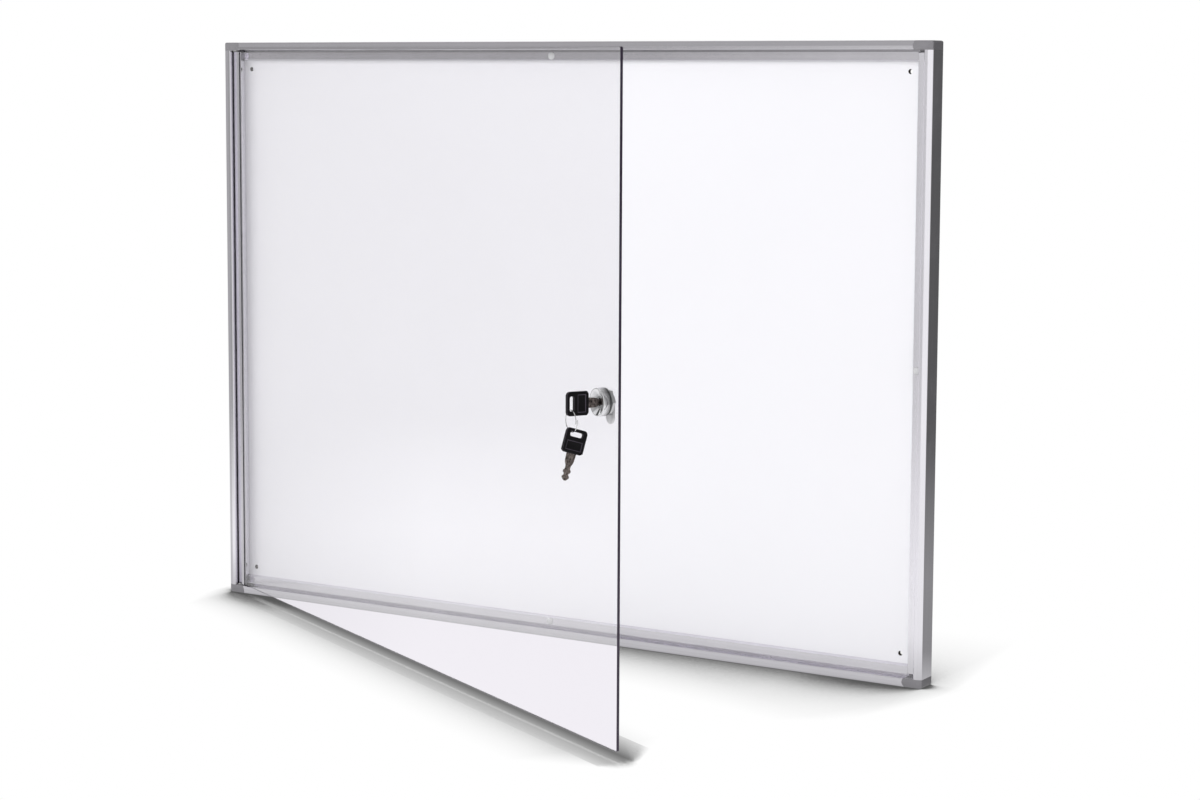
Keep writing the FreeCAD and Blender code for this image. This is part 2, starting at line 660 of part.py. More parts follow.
def key_ring():
    """The wire ring as one unbroken tube, its ends lapped side by side."""
    path, first = ring_path()
    start, heading = ring_point(first)
    profile = Part.Wire([Part.makeCircle(WIRE_R, start, heading)])
    tube = path.makePipeShell([profile], True, False)
    points = path.discretize(Number=720)
    step = path.Length / (len(points) - 1)
    apart = math.ceil(RING_R / step)
    gap = min(points[i].distanceToPoint(points[j])
              for i in range(len(points)) for j in range(i + apart, len(points)))
    print(f"key ring: least gap to itself {gap - 2 * WIRE_R:.3f} mm, volume {tube.Volume:.2f},"
          f" section times length {math.pi * WIRE_R ** 2 * path.Length:.2f}")
    return tube


def spare(shape):
    """A piece of the spare key: turned to hang from the ring's lowest point, tip down."""
    wire, _ = ring_point(math.pi)
    slot = vec(LOCK_X, SLOT_OUT, 0)
    hung = shape.copy()
    hung.translate(wire - slot + FreeCAD.Vector(0, 0, -SPARE_HANG))
    centre = wire + FreeCAD.Vector(0, 0, -SPARE_HANG)
    hung.rotate(centre, FreeCAD.Vector(1, 0, 0), -90)
    hung.translate(FreeCAD.Vector(0, SPARE_SHIFT, 0))
    hung.rotate(wire, FreeCAD.Vector(1, 0, 0), -SPARE_TILT)
    return hung


def opened(shape):
    """A piece of the door, swung open from its drawn, shut place."""
    swung = shape.copy()
    swung.rotate(HINGE_FOOT, UP, -DOOR_ANGLE)
    return swung


def frame_pieces():
    """Every piece of the case that stays on the wall."""
    steel_back = PANEL_FRONT - STEEL_THICKNESS
    core_back = PANEL_BACK + BACK_THICKNESS
    pieces = {"top_rail": rail("top_rail"), "bottom_rail": rail("bottom_rail"),
              "left_stile": stile("left_stile"), "right_stile": stile("right_stile"),
              "corner_screws": corner_screws(), "bumpers": bumpers(),
              "steel_face_sheet": panel_layer(steel_back, PANEL_FRONT),
              "core_board": panel_layer(core_back, steel_back),
              "back_sheet": panel_layer(PANEL_BACK, core_back),
              "hinge_bush_top": hinge_bush(1), "hinge_bush_bottom": hinge_bush(-1)}
    for name_z, side_z in (("top", 1), ("bottom", -1)):
        for name_x, side_x in (("left", -1), ("right", 1)):
            pieces[f"corner_cap_{name_z}_{name_x}"] = corner_cap(side_x, side_z)
    return pieces


def door_pieces():
    """Every piece that swings with the door, drawn with the door shut."""
    seat = SHEET_FRONT + WASHER
    nut_front = SHEET_BACK - WASHER
    washer_bore = BARREL_R + WASHER_FIT
    return {"hinge_profile": hinge_profile(), "hinge_pin_top": hinge_pin(1),
            "hinge_pin_bottom": hinge_pin(-1), "glazing_strips": glazing_strips(),
            "door_sheet": door_sheet(), "lock_housing": lock_housing(),
            "front_washer": ring_plate(SHEET_FRONT, seat, BEZEL_R - WASHER_INSET, washer_bore),
            "rear_washer": ring_plate(nut_front, SHEET_BACK, NUT_FLAT + WASHER_SPREAD, washer_bore),
            "lock_nut": hexagon(NUT_FLAT, NUT_BACK, nut_front, BARREL_R + FIT),
            "lock_plug": lock_plug(), "lock_wafers": lock_wafers(), "cam": cam(),
            "cam_nut": hexagon(CAM_NUT_FLAT, TAIL_BACK - CAM_NUT_PROUD, CAM_BACK, TAIL_R + FIT),
            "key_head": key_head(), "key_blade": key_blade(), "key_ring": key_ring(),
            "spare_key_head": spare(key_head()), "spare_key_blade": spare(key_blade())}


def main():
    """Builds every piece and writes one file for each."""
    pieces = frame_pieces()
    pieces.update({name: opened(shape) for name, shape in door_pieces().items()})
    os.makedirs("parts", exist_ok=True)
    for name, shape in pieces.items():
        solids = len(shape.Solids)
        if not shape.isValid() or not solids or shape.Volume <= 0:
            print(f"{name}: not a sound solid, {solids} solids, volume {shape.Volume:.1f}")
        shape.exportStep(f"parts/{name}.step")
    print(f"{len(pieces)} pieces")


main()
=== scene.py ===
import json
import logging
import math
from dataclasses import dataclass
from enum import Enum
from typing import ClassVar, Iterable, Optional, Sequence, Union

import bmesh
import bpy
from mathutils import Matrix, Vector


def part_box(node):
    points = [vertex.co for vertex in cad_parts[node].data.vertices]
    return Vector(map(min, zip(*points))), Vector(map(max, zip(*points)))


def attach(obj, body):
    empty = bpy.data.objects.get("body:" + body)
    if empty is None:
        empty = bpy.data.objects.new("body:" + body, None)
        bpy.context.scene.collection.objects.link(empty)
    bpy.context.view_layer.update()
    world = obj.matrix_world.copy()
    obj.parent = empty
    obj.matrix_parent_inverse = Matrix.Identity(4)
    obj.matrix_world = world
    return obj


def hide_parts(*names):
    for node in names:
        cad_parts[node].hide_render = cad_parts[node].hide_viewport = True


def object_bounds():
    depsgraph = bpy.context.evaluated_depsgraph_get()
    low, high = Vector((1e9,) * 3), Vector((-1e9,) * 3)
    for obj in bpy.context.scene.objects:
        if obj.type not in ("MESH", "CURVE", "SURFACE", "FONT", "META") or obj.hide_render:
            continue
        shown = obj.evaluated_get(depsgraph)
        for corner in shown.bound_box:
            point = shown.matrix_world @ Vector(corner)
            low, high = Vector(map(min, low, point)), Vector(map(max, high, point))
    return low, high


# A lockable wall notice board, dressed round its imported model. Blender's metres; X runs along the
# width, +Y points at the wall and +Z is up. A rise is a distance in front of the door sheet.

MM = 0.001
MERGE = 1e-6
FLAT = math.radians(1.0)
SHARP = math.radians(35.0)
ROUNDING_STRIPS = 2
AIR_SAMPLES = 16
EDGE_WEAR_AND_HIGHLIGHT = "edge_wear_and_highlight"
Place = tuple[float, float, float]
Colour = tuple[float, float, float]
Fade = tuple[float, float, float]
Pair = tuple[float, float]
Node = bpy.types.Node
Socket = bpy.types.NodeSocket
Outputs = bpy.types.NodeOutputs
Mesh = bmesh.types.BMesh
Value = Union[float, Sequence[float], Socket]

log = logging.getLogger("notice_board")
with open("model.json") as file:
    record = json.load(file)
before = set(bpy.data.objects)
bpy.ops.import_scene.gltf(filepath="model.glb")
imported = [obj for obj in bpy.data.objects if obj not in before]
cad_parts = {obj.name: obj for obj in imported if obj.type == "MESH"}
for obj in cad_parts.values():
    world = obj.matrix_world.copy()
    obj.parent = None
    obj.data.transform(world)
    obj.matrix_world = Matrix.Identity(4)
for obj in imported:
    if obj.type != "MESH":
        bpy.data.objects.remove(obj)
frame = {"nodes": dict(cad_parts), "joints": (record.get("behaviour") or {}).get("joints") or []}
CAD_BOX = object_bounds()


class Run(Enum):
    """The direction in which a length of aluminium was extruded, as the turn that lays it along X."""

    ALONG_X = (0.0, 0.0, 0.0)
    ALONG_Z = (0.0, math.pi / 2, 0.0)


class Sketch:
    """Places and joins the nodes of one node tree."""

    def __init__(self, tree: bpy.types.NodeTree) -> None:
        """Starts on a tree, which may hold nodes already."""
        self.tree = tree

    @classmethod
    def over(cls, owner: Union[bpy.types.Material, bpy.types.World]) -> "Sketch":
        """Starts on the emptied tree of a material or a world.

        Args:
            owner: The material or the world.

        Returns:
            The sketch of its tree.
        """
        owner.use_nodes = True
        owner.node_tree.nodes.clear()
        return cls(owner.node_tree)

    def feed(self, node: Node, name: Union[str, int], value: Value) -> None:
        """Joins a socket to an input, or sets the input.

        Args:
            node: The node whose input it is.
            name: The input's name or number.
            value: A socket of another node, or a plain value.
        """
        socket = node.inputs[name]
        if isinstance(value, Socket):
            self.tree.links.new(value, socket)
        else:
            socket.default_value = value

    def node(self, kind: str, inputs: Optional[dict] = None, **settings: object) -> Node:
        """Adds one node.

        Args:
            kind: The node's type, without the prefix of shader nodes.
            inputs: Values or sockets by the input's name or number.
            **settings: Properties of the node.

        Returns:
            The new node.
        """
        made = self.tree.nodes.new("ShaderNode" + kind)
        for name, value in settings.items():
            setattr(made, name, value)
        for name, value in (inputs or {}).items():
            self.feed(made, name, value)
        return made

    def math(self, operation: str, first: Value, second: Value = 0.0) -> Socket:
        """The result of one sum on two values."""
        return self.node("Math", {0: first, 1: second}, operation=operation).outputs[0]

    def times(self, first: Value, second: Value) -> Socket:
        """The product of two values."""
        return self.math("MULTIPLY", first, second)

    def plus(self, first: Value, second: Value) -> Socket:
        """The sum of two values."""
        return self.math("ADD", first, second)

    def rest(self, value: Value) -> Socket:
        """What a value leaves of 1."""
        return self.math("SUBTRACT", 1.0, value)

    def vector(self, operation: str, *values: Value) -> Socket:
        """The result of one sum on vectors, a number where it is a length or a dot product."""
        made = self.node("VectorMath", dict(enumerate(values)), operation=operation)
        return made.outputs["Value" if operation in ("LENGTH", "DOT_PRODUCT") else "Vector"]

    def span(self, value: Value, low: float, high: float, start: float = 0.0, end: float = 1.0) -> Socket:
        """A value moved from the span low to high onto the span start to end, and kept in it."""
        inputs = {"Value": value, "From Min": low, "From Max": high, "To Min": start, "To Max": end}
        return self.node("MapRange", inputs, clamp=True).outputs[0]

    def fade(self, value: Value, fade: Fade, zero: float = 0.0) -> Socket:
        """1 up to the fade's start, then falling or rising to its last level at its end."""
        start, end, level = fade
        return self.span(value, zero + start, zero + end, 1.0, level)

    def blend(self, share: Value, first: Value, second: Value) -> Socket:
        """A colour between two colours.

        Args:
            share: How much of the second colour it has.
            first: The first colour.
            second: The second colour.

        Returns:
            The colour.
        """
        made = self.node("Mix", data_type="RGBA")
        self.feed(made, 0, share)
        for index, value in ((6, first), (7, second)):
            self.feed(made, index, value if isinstance(value, Socket) else (*value, 1.0))
        return made.outputs[2]

    def ramp(self, value: Value, stops: Sequence[Pair]) -> Socket:
        """A grey read from a ramp.

        Args:
            value: The place on the ramp.
            stops: The ramp's places and levels.

        Returns:
            The level as a colour.
        """
        made = self.node("ValToRGB", {"Fac": value})
        elements = made.color_ramp.elements
        while len(elements) < len(stops):
            elements.new(0.5)
        for element, (place, level) in zip(elements, stops):
            element.position = place
            element.color = (level, level, level, 1.0)
        return made.outputs["Color"]

    def noise(self, place: Value, scale: Value, detail: float, roughness: float = 0.5,
              distortion: float = 0.0) -> Socket:
        """A soft noise round 0.5."""
        return self.node("TexNoise", {"Vector": place, "Scale": scale, "Detail": detail,
                                      "Roughness": roughness, "Distortion": distortion}).outputs[0]


class Effect:
    """A shader group that several finishes share, built when it is first used."""

    inputs: ClassVar[dict[str, float]]
    outputs: ClassVar[tuple[str, ...]]

    @classmethod
    def group(cls) -> bpy.types.NodeTree:
        """The effect as a group with a Place input, its number inputs, and outputs from 0 to 1."""
        tree = bpy.data.node_groups.get(cls.__name__)
        if tree is None:
            tree = bpy.data.node_groups.new(cls.__name__, "ShaderNodeTree")
            tree.interface.new_socket("Place", in_out="INPUT", socket_type="NodeSocketVector")
            for name, value in cls.inputs.items():
                made = tree.interface.new_socket(name, in_out="INPUT", socket_type="NodeSocketFloat")
                made.default_value = value
            for name in cls.outputs:
                tree.interface.new_socket(name, in_out="OUTPUT", socket_type="NodeSocketFloat")
            sketch = Sketch(tree)
            results = cls.draw(sketch, tree.nodes.new("NodeGroupInput").outputs)
            end = tree.nodes.new("NodeGroupOutput")
            for name, value in zip(cls.outputs, results):
                sketch.feed(end, name, value)
        return tree

    @staticmethod
    def draw(sketch: Sketch, given: Outputs) -> Sequence[Socket]:
        """Draws the effect.

        Args:
            sketch: The group's node tree.
            given: Its inputs by name.

        Returns:
            Its outputs, in their order.
        """
        raise NotImplementedError


class Grain(Effect):
    """Fine moulded or blasted grain, with a slow cloud over it."""

    inputs = {"Fineness": 2000.0, "Clouds": 12.0}
    outputs = ("Grain", "Cloud")

    @staticmethod
    def draw(sketch: Sketch, given: Outputs) -> Sequence[Socket]:
        """A fine noise and a slow one.

        Args:
            sketch: The group's node tree.
            given: Its inputs by name.

        Returns:
            The grain and the cloud.
        """
        fine = sketch.noise(given["Place"], given["Fineness"], detail=3.0, roughness=0.6)
        slow = sketch.noise(given["Place"], given["Clouds"], detail=4.0, roughness=0.55)
        return sketch.span(fine, 0.3, 0.7), sketch.span(slow, 0.35, 0.65)


class DrawnLines(Effect):
    """The hairlines that a die or a brush leaves along X, and wider bands of them."""

    inputs = {"Across": 3000.0, "Along": 6.0}
    outputs = ("Lines", "Bands")

    @staticmethod
    def draw(sketch: Sketch, given: Outputs) -> Sequence[Socket]:
        """Two noises that are drawn out along X.

        Args:
            sketch: The group's node tree.
            given: Its inputs by name.

        Returns:
            The lines and the bands.
        """
        stretch = sketch.node("CombineXYZ", {0: given["Along"], 1: given["Across"], 2: given["Across"]})
        moved = sketch.vector("MULTIPLY", given["Place"], stretch.outputs[0])
        fine, wide = (sketch.noise(moved, scale, detail=2.0) for scale in (1.0, 0.12))
        return sketch.span(fine, 0.3, 0.7), sketch.span(wide, 0.35, 0.65)


class Handling(Effect):
    """What hands and cloths leave: soft smudges and a few hair scratches."""

    inputs = {"Smears": 30.0, "Hairs": 60.0}
    outputs = ("Smudges", "Scratches")

    @staticmethod
    def draw(sketch: Sketch, given: Outputs) -> Sequence[Socket]:
        """The peaks of a cloud, and the thin middle line of a twisted noise.

        Args:
            sketch: The group's node tree.
            given: Its inputs by name.

        Returns:
            The smudges and the scratches.
        """
        cloud = sketch.noise(given["Place"], given["Smears"], detail=5.0, roughness=0.6, distortion=0.6)
        hair = sketch.noise(given["Place"], given["Hairs"], detail=1.0, distortion=2.5)
        middle = sketch.math("ABSOLUTE", sketch.math("SUBTRACT", hair, 0.5))
        return sketch.span(cloud, 0.5, 0.72), sketch.span(middle, 0.0, 0.004, 1.0, 0.0)


class CornerShadePaint(Effect):
    """Painted shade for inner corners: 0 deep in a corner, 1 on an open face."""

    inputs = {"Reach": 0.004}
    outputs = ("Open",)

    @staticmethod
    def draw(sketch: Sketch, given: Outputs) -> Sequence[Socket]:
        """How much of the air within reach is free.

        Args:
            sketch: The group's node tree.
            given: Its inputs by name.

        Returns:
            How open the place is.
        """
        air = sketch.node("AmbientOcclusion", {"Distance": given["Reach"]}, samples=AIR_SAMPLES)
        return [sketch.span(air.outputs["AO"], 0.5, 0.85)]


class Surface(Sketch):
    """A material's node tree, with its Principled shader and the object coordinates."""

    def __init__(self, tree: bpy.types.NodeTree) -> None:
        """Starts with a plain shader.

        Args:
            tree: The material's emptied tree.
        """
        super().__init__(tree)
        self.shader = self.node("BsdfPrincipled")
        self.feed(self.node("OutputMaterial"), "Surface", self.shader.outputs[0])
        self.place = self.node("TexCoord").outputs["Object"]

    def set(self, **inputs: Value) -> None:
        """Feeds inputs of the shader, whose names have underscores for spaces here."""
        for name, value in inputs.items():
            self.feed(self.shader, name.replace("_", " "), value)

    def effect(self, kind: type[Effect], **inputs: Value) -> Outputs:
        """Adds a shared effect, which reads the object coordinates unless it is given a Place."""
        return self.node("Group", {"Place": self.place, **inputs}, node_tree=kind.group()).outputs


@dataclass(frozen=True)
class Finish:
    """One surface finish, and how far it changes over the surface.

    Attributes:
        name: The material's name.
        colour: Its plain colour.
        roughness: Its plain roughness.
        tones: Its first and last shade by a mask, as shares of the colour.
        spread: How far the roughness goes from the plain one, by a mask.
        smudged: The roughness that smudges add.
        depth: How deep its texture is, in metres.
    """

    name: str
    colour: Colour
    roughness: float
    tones: Pair = (1.0, 1.0)
    spread: Pair = (0.0, 0.0)
    smudged: float = 0.0
    depth: float = 0.01 * MM

    def material(self) -> bpy.types.Material:
        """The finish as a material, built once and then shared."""
        made = bpy.data.materials.get(self.name)
        if made is None:
            made = bpy.data.materials.new(self.name)
            surface = Surface.over(made)
            surface.set(Base_Color=(*self.colour, 1.0))
            self.draw(surface)
        return made

    def draw(self, on: Surface) -> None:
        """Adds the maps of this kind of finish.

        Args:
            on: The surface that they go on.
        """
        raise NotImplementedError

    def shade(self, share: float) -> Colour:
        """The finish's colour, lighter or darker by a share."""
        return tuple(min(1.0, part * share) for part in self.colour)

    def toned(self, on: Surface, mask: Value) -> Socket:
        """The colour, from its first tone to its last by a mask."""
        return on.blend(mask, *(self.shade(tone) for tone in self.tones))

    def gloss(self, on: Surface, mask: Value, smudges: Value = 0.0) -> None:
        """Spreads the roughness by a mask, and adds what the smudges make of it."""
        rough = on.span(mask, 0.0, 1.0, *(self.roughness + part for part in self.spread))
        on.set(Roughness=on.plus(rough, on.times(smudges, self.smudged)))

    def bump(self, on: Surface, height: Value) -> None:
        """Lets a height from 0 to 1 stand proud by the finish's depth."""
        made = on.node("Bump", {"Height": height, "Distance": self.depth, "Strength": 1.0})
        on.set(Normal=made.outputs[0])


@dataclass(frozen=True)
class Metal(Finish):
    """A bare or plated metal, with painted shade in its inner corners as far as its corner length reaches,
    down to its corner shade tone.
    """

    corner: float = 0.6 * MM
    corner_shade_tone: float = 0.4

    def paint(self, on: Surface, colour: Socket) -> None:
        """Makes the surface a metal of a colour, with painted shade in its inner corners."""
        free = on.effect(CornerShadePaint, Reach=self.corner)["Open"]
        on.set(Base_Color=on.blend(free, self.shade(self.corner_shade_tone), colour), Metallic=1.0)


@dataclass(frozen=True)
class SatinAluminium(Metal):
    """Anodised aluminium with the fine lines of its die."""

    tones: Pair = (0.96, 1.03)
    spread: Pair = (-0.04, 0.05)
    smudged: float = 0.06
    depth: float = 0.0025 * MM
    corner: float = 3.0 * MM
    corner_shade_tone: float = 0.5
    run: Run = Run.ALONG_X
    fineness: float = 2600.0
    blasting: float = 5200.0
    blasted_share: float = 0.4

    def draw(self, on: Surface) -> None:
        """Lines along the run, a blasted grain, a little handling, and painted shade in the inner corners.

        Args:
            on: The surface that they go on.
        """
        along = on.node("Mapping", {"Vector": on.place, "Rotation": self.run.value}).outputs[0]
        lines = on.effect(DrawnLines, Place=along, Across=self.fineness)
        grain = on.effect(Grain, Fineness=self.blasting)
        self.paint(on, self.toned(on, on.times(on.plus(lines["Bands"], grain["Cloud"]), 0.5)))
        self.gloss(on, lines["Lines"], on.effect(Handling)["Smudges"])
        self.bump(on, on.plus(lines["Lines"], on.times(grain["Grain"], self.blasted_share)))


@dataclass(frozen=True)
class MouldedPlastic(Finish):
    """Injection-moulded plastic with a spark-eroded skin."""

    tones: Pair = (0.94, 1.06)
    spread: Pair = (-0.06, 0.08)
    smudged: float = -0.08
    depth: float = 0.03 * MM
    fineness: float = 2400.0
    clouds: float = 40.0
    scratch_share: float = 0.35
    scratch_tone: float = 1.6
    # How much lighter the rounded edges are painted: a little wear, and on the key grip a bright painted
    # highlight.
    edge_wear_and_highlight_tone: float = 1.3
    least_edge_lightening: float = 0.45
    specular: float = 0.5

    def draw(self, on: Surface) -> None:
        """Grain in the height and the gloss, a slow change of tone, and rounded edges painted lighter, as
        wear and as painted highlight.

        Args:
            on: The surface that they go on.
        """
        grain = on.effect(Grain, Fineness=self.fineness, Clouds=self.clouds)
        marks = on.effect(Handling)
        colour = on.blend(on.times(marks["Scratches"], self.scratch_share),
                          self.toned(on, grain["Cloud"]), self.shade(self.scratch_tone))
        edges = on.node("Attribute", attribute_name=EDGE_WEAR_AND_HIGHLIGHT).outputs["Fac"]
        worn_or_lit_edges = on.times(edges, on.span(grain["Cloud"], 0.0, 1.0, 1.0, self.least_edge_lightening))
        on.set(Base_Color=on.blend(worn_or_lit_edges, colour, self.shade(self.edge_wear_and_highlight_tone)),
               Specular_IOR_Level=self.specular)
        self.gloss(on, grain["Grain"], marks["Smudges"])
        self.bump(on, grain["Grain"])


@dataclass(frozen=True)
class EnamelledSteel(Finish):
    """The white writing face: a stoved coat with a faint orange peel and traces of wiping."""

    tones: Pair = (0.992, 1.004)
    spread: Pair = (0.0, 0.12)
    depth: float = 0.006 * MM
    wiped_share: float = 0.3
    wiped_tone: float = 0.985

    def draw(self, on: Surface) -> None:
        """Orange peel in the height, and wipe marks in the tone and the gloss.

        Args:
            on: The surface that they go on.
        """
        peel = on.effect(Grain, Fineness=260.0, Clouds=2.5)
        wiped = on.effect(Handling, Smears=5.0, Hairs=9.0)["Smudges"]
        on.set(Base_Color=on.blend(on.times(wiped, self.wiped_share), self.toned(on, peel["Cloud"]),
                                   self.shade(self.wiped_tone)))
        self.gloss(on, wiped)
        self.bump(on, peel["Grain"])


@dataclass(frozen=True)
class PressedBoard(Finish):
    """The fibre core, seen only in the wall-fixing holes."""

    tones: Pair = (0.65, 1.25)
    spread: Pair = (-0.1, 0.1)
    depth: float = 0.2 * MM
    cloud_tone: float = 0.85

    def draw(self, on: Surface) -> None:
        """Fibres in the tone, the gloss and the height.

        Args:
            on: The surface that they go on.
        """
        fibre = on.effect(Grain, Fineness=1500.0, Clouds=300.0)
        on.set(Base_Color=on.blend(fibre["Cloud"], self.toned(on, fibre["Grain"]),
                                   self.shade(self.cloud_tone)))
        self.gloss(on, fibre["Grain"])
        self.bump(on, fibre["Grain"])


@dataclass(frozen=True)
class GalvanisedSheet(Finish):
    """Zinc-coated steel with the flakes of its spangle."""

    tones: Pair = (0.8, 1.12)
    spread: Pair = (-0.1, 0.1)
    smudged: float = 0.1
    flake: float = 90.0
    flake_share: float = 0.7
    scratch_tone: float = 1.4

    def draw(self, on: Surface) -> None:
        """Flakes of differing tone and gloss, rolled lines and scuffs.

        Args:
            on: The surface that they go on.
        """
        flakes = on.node("TexVoronoi", {"Vector": on.place, "Scale": self.flake, "Randomness": 1.0})
        tone = on.node("SeparateColor", {"Color": flakes.outputs["Color"]}).outputs[0]
        bands = on.effect(DrawnLines, Across=900.0, Along=3.0)["Bands"]
        marks = on.effect(Handling, Smears=8.0, Hairs=14.0)
        both = on.plus(on.times(tone, self.flake_share), on.times(bands, 1.0 - self.flake_share))
        on.set(Base_Color=on.blend(marks["Scratches"], self.toned(on, both), self.shade(self.scratch_tone)),
               Metallic=1.0)
        self.gloss(on, tone, marks["Smudges"])
        self.bump(on, both)


@dataclass(frozen=True)
class PlatedMetal(Metal):
    """A plated or ground metal part, from bright chrome to dull zinc."""

    tones: Pair = (0.9, 1.04)
    spread: Pair = (0.0, 0.1)
    smudged: float = 1.0
    depth: float = 0.004 * MM
    clouds: float = 160.0
    scratch_share: float = 0.5
    scratch_tone: float = 1.15

    def draw(self, on: Surface) -> None:
        """Polishing lines, tarnish in the hollows of a cloud, hair scratches, and painted shade in the inner
        corners.

        Args:
            on: The surface that they go on.
        """
        lines = on.effect(DrawnLines, Across=3000.0, Along=200.0)["Lines"]
        cloud = on.effect(Grain, Fineness=4000.0, Clouds=self.clouds)["Cloud"]
        marks = on.effect(Handling, Smears=180.0, Hairs=140.0)
        scratches = marks["Scratches"]
        self.paint(on, on.blend(on.times(scratches, self.scratch_share), self.toned(on, cloud),
                                self.shade(self.scratch_tone)))
        dulled = on.plus(marks["Smudges"], on.times(scratches, 2.0))
        self.gloss(on, lines, on.times(dulled, self.spread[1]))
        self.bump(on, on.plus(lines, scratches))


@dataclass(frozen=True)
class ClearSheet(Finish):
    """The faces of the door's clear acrylic, which lamp light passes almost unchanged."""

    tones: Pair = (1.0, 0.995)
    spread: Pair = (0.0, 0.01)
    shadow_share: float = 0.05

    def draw(self, on: Surface) -> None:
        """Traces of wiping in the tint and the gloss.

        Args:
            on: The surface that they go on.
        """
        wiped = on.effect(Handling, Smears=7.0, Hairs=11.0)["Smudges"]
        rays = on.node("LightPath").outputs
        lighting = on.math("MAXIMUM", rays["Is Shadow Ray"], rays["Is Diffuse Ray"])
        on.set(Base_Color=self.toned(on, wiped), IOR=1.49, Transmission_Weight=1.0,
               Alpha=on.span(lighting, 0.0, 1.0, 1.0, self.shadow_share))
        self.gloss(on, wiped)


@dataclass(frozen=True)
class SawnEdge(Finish):
    """The sheet's sawn and flamed edge, made opaque and painted violet black, a painted reflection of the
    room's dark.
    """

    tones: Pair = (1.0, 1.5)
    spread: Pair = (-0.08, 0.08)

    def draw(self, on: Surface) -> None:
        """Saw lines in the tone, the gloss and the height, and slow clouds of tone.

        Args:
            on: The surface that they go on.
        """
        saw = on.effect(DrawnLines, Across=1800.0, Along=1800.0)["Lines"]
        slow = on.effect(Grain, Clouds=60.0)["Cloud"]
        on.set(Base_Color=self.toned(on, on.times(saw, slow)))
        self.gloss(on, saw)
        self.bump(on, saw)


@dataclass(frozen=True)
class ClearRubber(Finish):
    """The soft clear bumpers, slightly milky."""

    tones: Pair = (1.0, 0.9)
    spread: Pair = (0.0, 0.12)

    def draw(self, on: Surface) -> None:
        """A haze that gathers in clouds, and dust on the dome.

        Args:
            on: The surface that they go on.
        """
        haze = on.effect(Grain, Fineness=900.0, Clouds=350.0)
        on.set(Base_Color=self.toned(on, haze["Cloud"]), IOR=1.45, Transmission_Weight=0.3)
        self.gloss(on, haze["Grain"])
        self.bump(on, haze["Grain"])


def joint_of(name: str) -> dict:
    """One of the frame's joints."""
    return next(joint for joint in frame["joints"] if joint["name"] == name)


def lock_frame() -> Matrix:
    """The matrix from the lock's own axes to the row frame: X along the sheet, -Y out of it."""
    joint = joint_of("lock_turn")
    outward = Vector(joint["axis"]).normalized()
    above = Vector((0.0, 0.0, 1.0))
    turn = Matrix((above.cross(outward), -outward, above)).transposed().to_4x4()
    return Matrix.Translation(joint["pos_m"]) @ turn


def turned(degrees: float, axis: str) -> Matrix:
    """A turn about one of the axes."""
    return Matrix.Rotation(math.radians(degrees), 4, axis)


def shown(name: str, data: bpy.types.ID) -> bpy.types.Object:
    """Puts a new object in the scene.

    Args:
        name: The object's name.
        data: Its mesh, camera or lamp.

    Returns:
        The object.
    """
    made = bpy.data.objects.new(name, data)
    bpy.context.scene.collection.objects.link(made)
    return made


def settled(name: str, bm: Mesh) -> bpy.types.Mesh:
    """Makes a mesh of a bmesh.

    Args:
        name: The mesh's name.
        bm: The shape, which is used up.

    Returns:
        The mesh.
    """
    made = bpy.data.meshes.new(name)
    bm.to_mesh(made)
    bm.free()
    return made


@dataclass
class Viewpoint:
    """The photograph's camera, in metres, degrees and pixels of a 1200 by 800 picture."""

    place: Place = (1.6198, -2.5134, 0.3114)
    yaw: float = 31.843
    pitch: float = -6.144
    roll: float = 0.276
    focal_px: float = 2551.7
    drop_px: float = 50.0
    picture_width: float = 1200.0
    sensor: float = 36.0

    def build(self) -> None:
        """Makes the camera and gives it to the scene."""
        data = bpy.data.cameras.new("photo_camera")
        data.sensor_width = self.sensor
        data.lens = self.focal_px / self.picture_width * self.sensor
        data.shift_y = -self.drop_px / self.picture_width
        camera = shown("photo_camera", data)
        aimed = turned(self.yaw, "Z") @ turned(90.0 + self.pitch, "X") @ turned(self.roll, "Z")
        camera.matrix_world = Matrix.Translation(self.place) @ aimed
        bpy.context.scene.camera = camera


